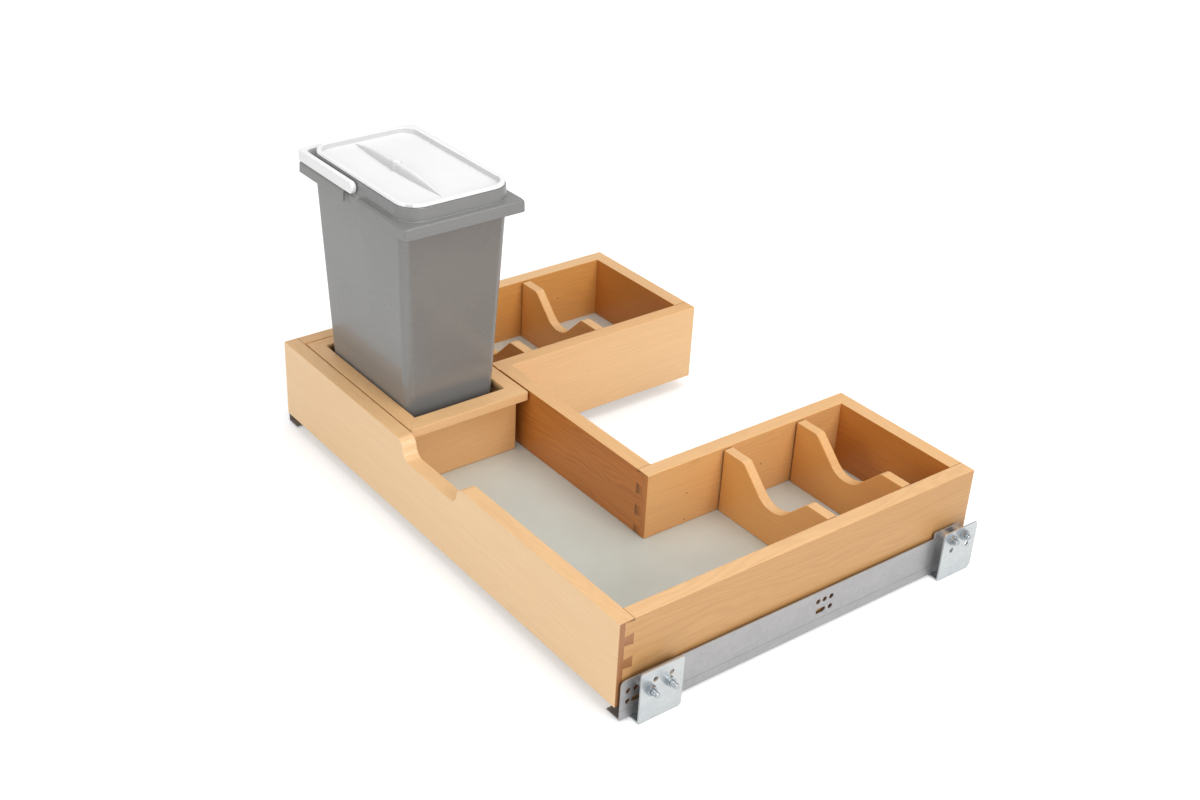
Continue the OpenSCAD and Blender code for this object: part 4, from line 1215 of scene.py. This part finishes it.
@dataclass
class Bin:
    """The tapered bin, its lid and its carrying bail, mostly lofted from rounded rectangles.

    Sizes are in millimetres.
    """

    palette: Palette
    corner_steps: int = 10
    wall: float = 2.3
    skirt: float = 13.5
    plate: float = 2.5
    collar: float = 15.0
    draft: float = 1.0
    ledge_x: float = 8.9
    ledge_y: float = 6.8
    lean_x: float = math.tan(math.radians(2.55))
    lean_y: float = math.tan(math.radians(2.4))
    collar_radius: float = 26.0
    inset: float = 0.8
    flange_over_x: float = 19.4
    flange_over_y: float = 8.1
    play: float = 0.3
    lid_thickness: float = 3.4
    lid_recess: float = 6.5
    lid_border: float = 6.0
    fin_gap: float = 7.6
    fin_width: float = 10.0
    fin_height: float = 9.5
    fin_offset: float = -12.0
    fin_shift: float = -6.0
    bail_ease: float = 1.1
    fin_steps: int = 48
    fin_arc_steps: int = 8
    fin_tip_width: float = 0.25
    fin_tip_height: float = 0.2
    fin_sink: float = 0.3
    fin_fall: float = 2.4
    fin_fullness: float = 0.7
    knob_faces: int = 28
    knob: tuple[tuple[float, float], ...] = ((6.5, -0.3), (6.4, 3.0), (6.2, 7.0), (5.8, 9.4), (4.8, 10.5),
                                             (3.0, 10.9))
    # Painted shade on the steep faces in the lid's recess, as a share of black.
    recess_painted_shade: float = 0.3
    notch: tuple[float, float] = (-13.0, 16.0)
    notch_depth: float = 6.1
    notch_ease: float = 1.2
    cutter_out: float = 6.0
    cutter_below: float = 3.0
    cutter_above: float = 2.0

    def __post_init__(self) -> None:
        """Reads the bin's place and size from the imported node."""
        low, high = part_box("bin_body")
        self.middle = (low + high) / 2
        self.bottom = low.z / MM
        self.top = high.z / MM
        self.half_x = (high.x - low.x) / 2 / MM
        self.half_y = (high.y - low.y) / 2 / MM
        self.flange = self.top - self.collar

    def ring(self, half_x: float, half_y: float, radius: float, height: float) -> list[Vector]:
        """Points of a rounded rectangle round the bin's middle.

        Args:
            half_x: Half length.
            half_y: Half width.
            radius: Corner radius.
            height: Height in the shared frame, in millimetres.

        Returns:
            The points, counted round from the right rear corner.
        """
        points = []
        for corner, (sx, sy) in enumerate(((1, 1), (-1, 1), (-1, -1), (1, -1))):
            for step in range(self.corner_steps + 1):
                angle = math.radians(90.0 * corner + 90.0 * step / self.corner_steps)
                x = sx * (half_x - radius) + radius * math.cos(angle)
                y = sy * (half_y - radius) + radius * math.sin(angle)
                points.append(Vector((self.middle.x + x * MM, self.middle.y + y * MM, height * MM)))
        return points

    def loft(self, name: str, sections: list[tuple[float, float, float, float]]) -> Object:
        """Joins rounded rectangles into one closed skin.

        Args:
            name: The object's name.
            sections: Half length, half width, corner radius and height of each ring.

        Returns:
            The closed object, with both ends capped.
        """
        points: list[Vector] = []
        faces: list[tuple] = []
        count = 4 * (self.corner_steps + 1)
        for section in sections:
            points += self.ring(*section)
        for row in range(len(sections) - 1):
            for step in range(count):
                after = (step + 1) % count
                a, b = row * count, (row + 1) * count
                faces.append((a + step, a + after, b + after, b + step))
        faces.append(tuple(reversed(range(count))))
        faces.append(tuple(range((len(sections) - 1) * count, len(sections) * count)))
        piece = new_piece(name, points, faces)
        shape = bmesh.new()
        shape.from_mesh(piece.data)
        bmesh.ops.recalc_face_normals(shape, faces=shape.faces)
        shape.to_mesh(piece.data)
        shape.free()
        return piece

    def half_at(self, height: float) -> tuple[float, float]:
        """Half length and half width of the body's outside at a height in the shared frame."""
        body_x = self.half_x - self.flange_over_x
        body_y = self.half_y - self.flange_over_y
        drop = self.flange - self.skirt - height
        return body_x - self.lean_x * drop, body_y - self.lean_y * drop

    def body(self) -> Object:
        """Builds the bin itself, with its skirted flange, collar and notches.

        Returns:
            The finished object.
        """
        z0, zs, zf, zt = self.bottom, self.flange - self.skirt, self.flange, self.top
        zp = zf - self.plate
        fx, fy = self.half_x, self.half_y
        cx, cy = fx - self.ledge_x, fy - self.ledge_y
        lx, ly = cx - self.draft, cy - self.draft
        w = self.wall
        x0, y0 = self.half_at(z0)
        x1, y1 = self.half_at(z0 + 4)
        xs, ys = self.half_at(zs)
        cr = self.collar_radius
        sections = [
            (x0 - 3.6, y0 - 3.6, 7.0, z0), (x0 - 1.6, y0 - 1.6, 9.0, z0 + 0.7),
            (x0 - 0.3, y0 - 0.3, 9.8, z0 + 2.2), (x1, y1, 10.0, z0 + 4.0), (xs, ys, 11.0, zs),
            ((xs + cx) / 2 - 1.5, (ys + cy) / 2, 14.0, (zs + zp) / 2), (cx - 2.0, cy - 0.5, 18.0, zp - 1.0),
            (cx, cy + 0.2, 19.0, zp - 0.2), (fx - w - 1.0, fy - w - 0.6, 3.0, zp),
            (fx - w, fy - w, 3.0, zp - 1.0), (fx - w, fy - w, 3.0, zs + 0.4),
            (fx - w + 0.5, fy - w + 0.5, 3.4, zs), (fx - 0.5, fy - 0.5, 3.8, zs), (fx, fy, 4.0, zs + 0.5),
            (fx - 0.3, fy - 0.3, 4.0, zf - 3.2), (fx - 0.9, fy - 0.8, 4.4, zf - 1.2),
            (fx - 2.6, fy - 1.9, 5.5, zf), (cx + 1.2, cy + 0.9, cr + 0.9, zf),
            (cx + 0.8, cy + 0.6, cr + 0.6, zf + 0.3), (cx + 0.3, cy + 0.25, cr + 0.2, zf + 0.7),
            (cx, cy, cr, zf + 1.2), (lx, ly, cr, zt - 0.9), (lx - 0.3, ly - 0.3, cr - 0.3, zt - 0.2),
            (lx - 0.8, ly - 0.8, cr - 0.8, zt), (lx - 1.6, ly - 1.6, cr - 1.6, zt),
            (lx - w, ly - w, cr - w, zt - 0.7), (lx - w, ly - w, cr - w, zp), (xs - w, ys - w, 9.5, zs),
            (x1 - w, y1 - w, 8.0, z0 + 6.0), (x0 - w - 1.2, y0 - w - 1.2, 7.0, z0 + w + 0.8),
            (x0 - w - 3.5, y0 - w - 3.5, 5.0, z0 + w),
        ]
        piece = self.loft("lidded_bin_body", sections)
        self.cut_notches(piece)
        smoothed(piece, 38.0)
        return publish(piece, "bin", "bin_plastic", self.palette.bin, "bin_body")

    def cut_notches(self, piece: Object) -> None:
        """Cuts the two gaps in the long sides' flange where the bail turns.

        Args:
            piece: The bin's body.
        """
        for sign in (-1.0, 1.0):
            inner = self.half_y - self.notch_depth
            outer = self.half_y + self.cutter_out
            low = self.flange - self.skirt - self.cutter_below
            high = self.flange + self.cutter_above
            xs, ys = self.notch, sorted((sign * inner, sign * outer))
            points = [Vector((self.middle.x + x * MM, self.middle.y + y * MM, z * MM))
                      for x in xs for y in ys for z in (low, high)]
            faces = [(0, 1, 3, 2), (4, 6, 7, 5), (0, 4, 5, 1), (2, 3, 7, 6), (0, 2, 6, 4), (1, 5, 7, 3)]
            cutter = new_piece("notch_form", points, faces)
            shape = bmesh.new()
            shape.from_mesh(cutter.data)
            bmesh.ops.recalc_face_normals(shape, faces=shape.faces)
            upright = [e for e in shape.edges if abs((e.verts[0].co - e.verts[1].co).normalized().z) > 0.9]
            bmesh.ops.bevel(shape, geom=upright, offset=self.notch_ease * MM, segments=3, profile=0.5,
                             affect="EDGES")
            shape.to_mesh(cutter.data)
            shape.free()
            modifier = piece.modifiers.new("notch", "BOOLEAN")
            modifier.operation = "DIFFERENCE"
            modifier.solver = "EXACT"
            modifier.object = cutter
            applied(piece)
            bpy.data.objects.remove(cutter)

    def lid(self) -> Object:
        """Builds the lid with its border, sunk middle, fin and knob, with painted shade on the steep faces in
        its sunk middle.

        Returns:
            The finished object.
        """
        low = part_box("bin_lid")[0]
        lx, ly = self.half_x - self.ledge_x - self.draft, self.half_y - self.ledge_y - self.draft
        base = self.top + self.play
        top = base + self.lid_thickness
        bed = top - self.lid_recess
        hx, hy, r = lx - self.inset, ly - self.inset, self.collar_radius - self.inset
        plug = self.wall + self.play
        px, py, pr = lx - plug, ly - plug, self.collar_radius - plug
        sections = [
            (px - 1.0, py - 1.0, pr - 1.0, low.z / MM), (px, py, pr, low.z / MM + 0.8), (px, py, pr, base),
            (hx - 0.5, hy - 0.5, r - 0.5, base), (hx, hy, r, base + 0.5), (hx - 0.1, hy - 0.1, r, top - 1.1),
            (hx - 0.5, hy - 0.5, r - 0.5, top - 0.3), (hx - 1.4, hy - 1.4, r - 1.4, top),
            (hx - 4.6, hy - 4.6, r - 4.6, top), (hx - 5.5, hy - 5.5, r - 5.5, top - 0.4),
            (hx - 5.9, hy - 5.9, r - 5.9, top - 1.0), (hx - 6.2, hy - 6.2, r - 6.2, bed + 1.0),
            (hx - 6.6, hy - 6.6, r - 6.6, bed + 0.3), (hx - 7.4, hy - 7.4, r - 7.4, bed),
        ]
        piece = self.loft("lidded_bin_lid", sections)
        shape = bmesh.new()
        shape.from_mesh(piece.data)
        self.fin(shape, bed)
        shape.to_mesh(piece.data)
        shape.free()
        smoothed(piece, 38.0)
        # Painted shade on the steep faces of the fin, the knob and the recess walls, stronger the steeper
        # they stand.
        sunk = piece.data.attributes.new("sunk", "FLOAT", "FACE")
        for polygon, value in zip(piece.data.polygons, sunk.data):
            place = (polygon.center - self.middle) / MM
            inner = abs(place.x) < hx - 5.7 and abs(place.y) < hy - 5.7 and polygon.center.z / MM > bed - 0.1
            value.value = self.recess_painted_shade * (1.0 - max(polygon.normal.z, 0.0) ** 2) if inner else 0.0
        return publish(piece, "lid", "lid_plastic", self.palette.lid, "bin_lid")

    def fin(self, shape: bmesh.types.BMesh, bed: float) -> None:
        """Adds the finger fin and its knob to the lid's mesh.

        Args:
            shape: The lid's mesh.
            bed: Height of the lid's sunk middle.
        """
        length = 2 * (self.half_x - self.ledge_x - self.draft - self.inset - self.lid_border - self.fin_gap)
        middle_x = self.middle.x / MM + self.fin_shift
        middle_y = self.middle.y / MM + self.fin_offset
        rows = []
        last, sink = self.fin_arc_steps, self.fin_sink
        for step in range(self.fin_steps + 1):
            share = -1.0 + 2.0 * step / self.fin_steps
            half = max(self.fin_width / 2 * (1.0 - share * share), self.fin_tip_width)
            rise = max(self.fin_height * (1.0 - abs(share) ** self.fin_fall), self.fin_tip_height)
            row = []
            for part in range(last + 1):
                angle = math.pi * part / last
                y = middle_y - half * math.cos(angle)
                z = bed - sink + (rise + sink) * math.sin(angle) ** self.fin_fullness
                row.append(shape.verts.new(((middle_x + share * length / 2) * MM, y * MM, z * MM)))
            rows.append(row)
        for first, second in zip(rows, rows[1:]):
            for part in range(last):
                shape.faces.new((first[part], first[part + 1], second[part + 1], second[part]))
            shape.faces.new((first[last], first[0], second[0], second[last]))
        shape.faces.new(rows[0])
        shape.faces.new(list(reversed(rows[-1])))
        knob, count = [], self.knob_faces
        for radius, z in self.knob:
            knob.append([shape.verts.new(((middle_x + radius * math.cos(2 * math.pi * s / count)) * MM,
                                          (middle_y + radius * math.sin(2 * math.pi * s / count)) * MM,
                                          (bed + z) * MM)) for s in range(count)])
        for first, second in zip(knob, knob[1:]):
            for step in range(count):
                after = (step + 1) % count
                shape.faces.new((first[step], first[after], second[after], second[step]))
        shape.faces.new(knob[-1])
        shape.faces.new(list(reversed(knob[0])))
        bmesh.ops.recalc_face_normals(shape, faces=shape.faces)

    def bail(self) -> Object:
        """Builds the carrying bail with rounded edges.

        Returns:
            The finished object.
        """
        piece = node_copy("bin_bail", "carrying_bail")
        rounded(piece, lambda shape: outer_edges(shape, 35.0), self.bail_ease, 3)
        smoothed(piece, 45.0)
        return publish(piece, "bail", "lid_plastic", self.palette.lid, "bin_bail")

    def build(self) -> list[Object]:
        """Builds the bin, the lid and the bail.

        Returns:
            The finished objects.
        """
        return [self.body(), self.lid(), self.bail()]


@dataclass
class Studio:
    """The floor, the lamps, the world and the camera."""

    place: Vector = field(default_factory=lambda: Vector((1.1899, -0.9817, 1.0069)))
    forward: Vector = field(default_factory=lambda: Vector((-0.70836, 0.49631, -0.5019)))
    right: Vector = field(default_factory=lambda: Vector((0.56593, 0.82429, 0.01638)))
    lens: float = 47.4
    shift: float = 0.0833
    sensor: float = 36.0
    clip: tuple[float, float] = (0.05, 60.0)

    def camera(self) -> Object:
        """Sets the camera where the photograph was taken.

        Returns:
            The camera.
        """
        data = bpy.data.cameras.new("photo_camera")
        data.lens = self.lens
        data.sensor_width = self.sensor
        data.shift_x = self.shift
        data.clip_start, data.clip_end = self.clip
        made = bpy.data.objects.new("photo_camera", data)
        bpy.context.scene.collection.objects.link(made)
        ahead = self.forward.normalized()
        across = (self.right - ahead * self.right.dot(ahead)).normalized()
        up = across.cross(ahead)
        turn = Matrix((across, up, -ahead)).transposed().to_4x4()
        made.matrix_world = Matrix.Translation(self.place) @ turn
        bpy.context.scene.camera = made
        return made

    def floor(self) -> Object:
        """Lays the pale floor, white to the camera, with its shadows near the object and none far away.

        Returns:
            The floor's object.
        """
        material, net, shader = start_material("pale_floor")
        shader.inputs["Base Color"].default_value = srgb(240, 240, 240)
        shader.inputs["Roughness"].default_value = 0.9
        shader.inputs["Specular IOR Level"].default_value = 0.1
        path = net.node("ShaderNodeLightPath")
        glow = net.node("ShaderNodeEmission", {"Color": (1.0, 1.0, 1.0, 1.0)})
        place = net.node("ShaderNodeTexCoord")
        away = net.node("ShaderNodeVectorMath", operation="LENGTH")
        net.join(place.outputs["Object"], away.inputs[0])
        rising = net.span(away.outputs["Value"], 1.5, 3.5, 0.35, 1.0)
        net.join(net.math("MULTIPLY", path.outputs["Is Camera Ray"], rising), glow.inputs["Strength"])
        both = net.node("ShaderNodeAddShader")
        net.join(shader.outputs[0], both.inputs[0])
        net.join(glow.outputs[0], both.inputs[1])
        output = next(n for n in material.node_tree.nodes if n.type == "OUTPUT_MATERIAL")
        net.join(both.outputs[0], output.inputs[0])
        size, level = 9.0, -0.5 * MM
        corners = [(-size, -size, level), (size, -size, level), (size, size, level), (-size, size, level)]
        plane = new_piece("studio_floor", corners, [(0, 1, 2, 3)])
        plane.data.materials.append(material)
        return plane

    def world(self) -> None:
        """Gives an even white surrounding light."""
        world = bpy.data.worlds.new("studio_world")
        bpy.context.scene.world = world
        world.use_nodes = True
        world.node_tree.nodes.clear()
        net = Net(world.node_tree)
        path = net.node("ShaderNodeLightPath")
        back = net.node("ShaderNodeBackground", {"Color": (1.0, 1.0, 1.0, 1.0)})
        seen = net.math("ADD", path.outputs["Is Camera Ray"], path.outputs["Is Transmission Ray"], clamp=True)
        net.join(net.math("ADD", net.math("MULTIPLY", seen, 0.4), 0.6), back.inputs["Strength"])
        output = net.node("ShaderNodeOutputWorld")
        net.join(back.outputs[0], output.inputs[0])

    def lamp(self, name: str, place: tuple, target: tuple, size: float, power: float,
             gleam: float = 1.0) -> Object:
        """Adds one soft rectangular lamp.

        Args:
            name: The lamp's name.
            place: Where it stands.
            target: Where it points.
            size: Side length in metres.
            power: Power in watts.
            gleam: Share of the lamp that shows in shiny surfaces.

        Returns:
            The lamp.
        """
        data = bpy.data.lights.new(name, "AREA")
        data.size = size
        data.energy = power
        data.specular_factor = gleam
        made = bpy.data.objects.new(name, data)
        bpy.context.scene.collection.objects.link(made)
        way = Vector(target) - Vector(place)
        turn = way.to_track_quat("-Z", "Y").to_matrix().to_4x4()
        made.matrix_world = Matrix.Translation(Vector(place)) @ turn
        return made

    def build(self) -> None:
        """Sets up the whole studio."""
        self.camera()
        self.floor()
        self.world()
        self.lamp("front_softbox", (0.0, -5.2, 2.2), (0.0, 0.0, 0.1), 2.8, 59.0, 0.3)
        self.lamp("right_softbox", (6.5, -0.2, 2.6), (0.0, 0.0, 0.1), 3.2, 138.0)
        self.lamp("bin_softbox", (2.4, 0.6, 1.5), (-0.15, -0.1, 0.3), 0.6, 10.0)
        self.lamp("top_softbox", (0.2, 0.2, 2.6), (0.0, 0.0, 0.0), 2.0, 24.0)
        bpy.context.scene.view_settings.view_transform = "Standard"


def main() -> None:
    """Builds the studio and every sub-assembly in order."""
    logging.basicConfig(level=logging.INFO, format="%(name)s: %(message)s")
    Studio().build()
    palette = Palette()
    Drawer(palette).build()
    for side in Side:
        SheetMetal(palette, side).build()
    dress("lock_screws", palette.steel)
    Fastenings(palette).build()
    Bin(palette).build()


if __name__ == "__main__":
    main()
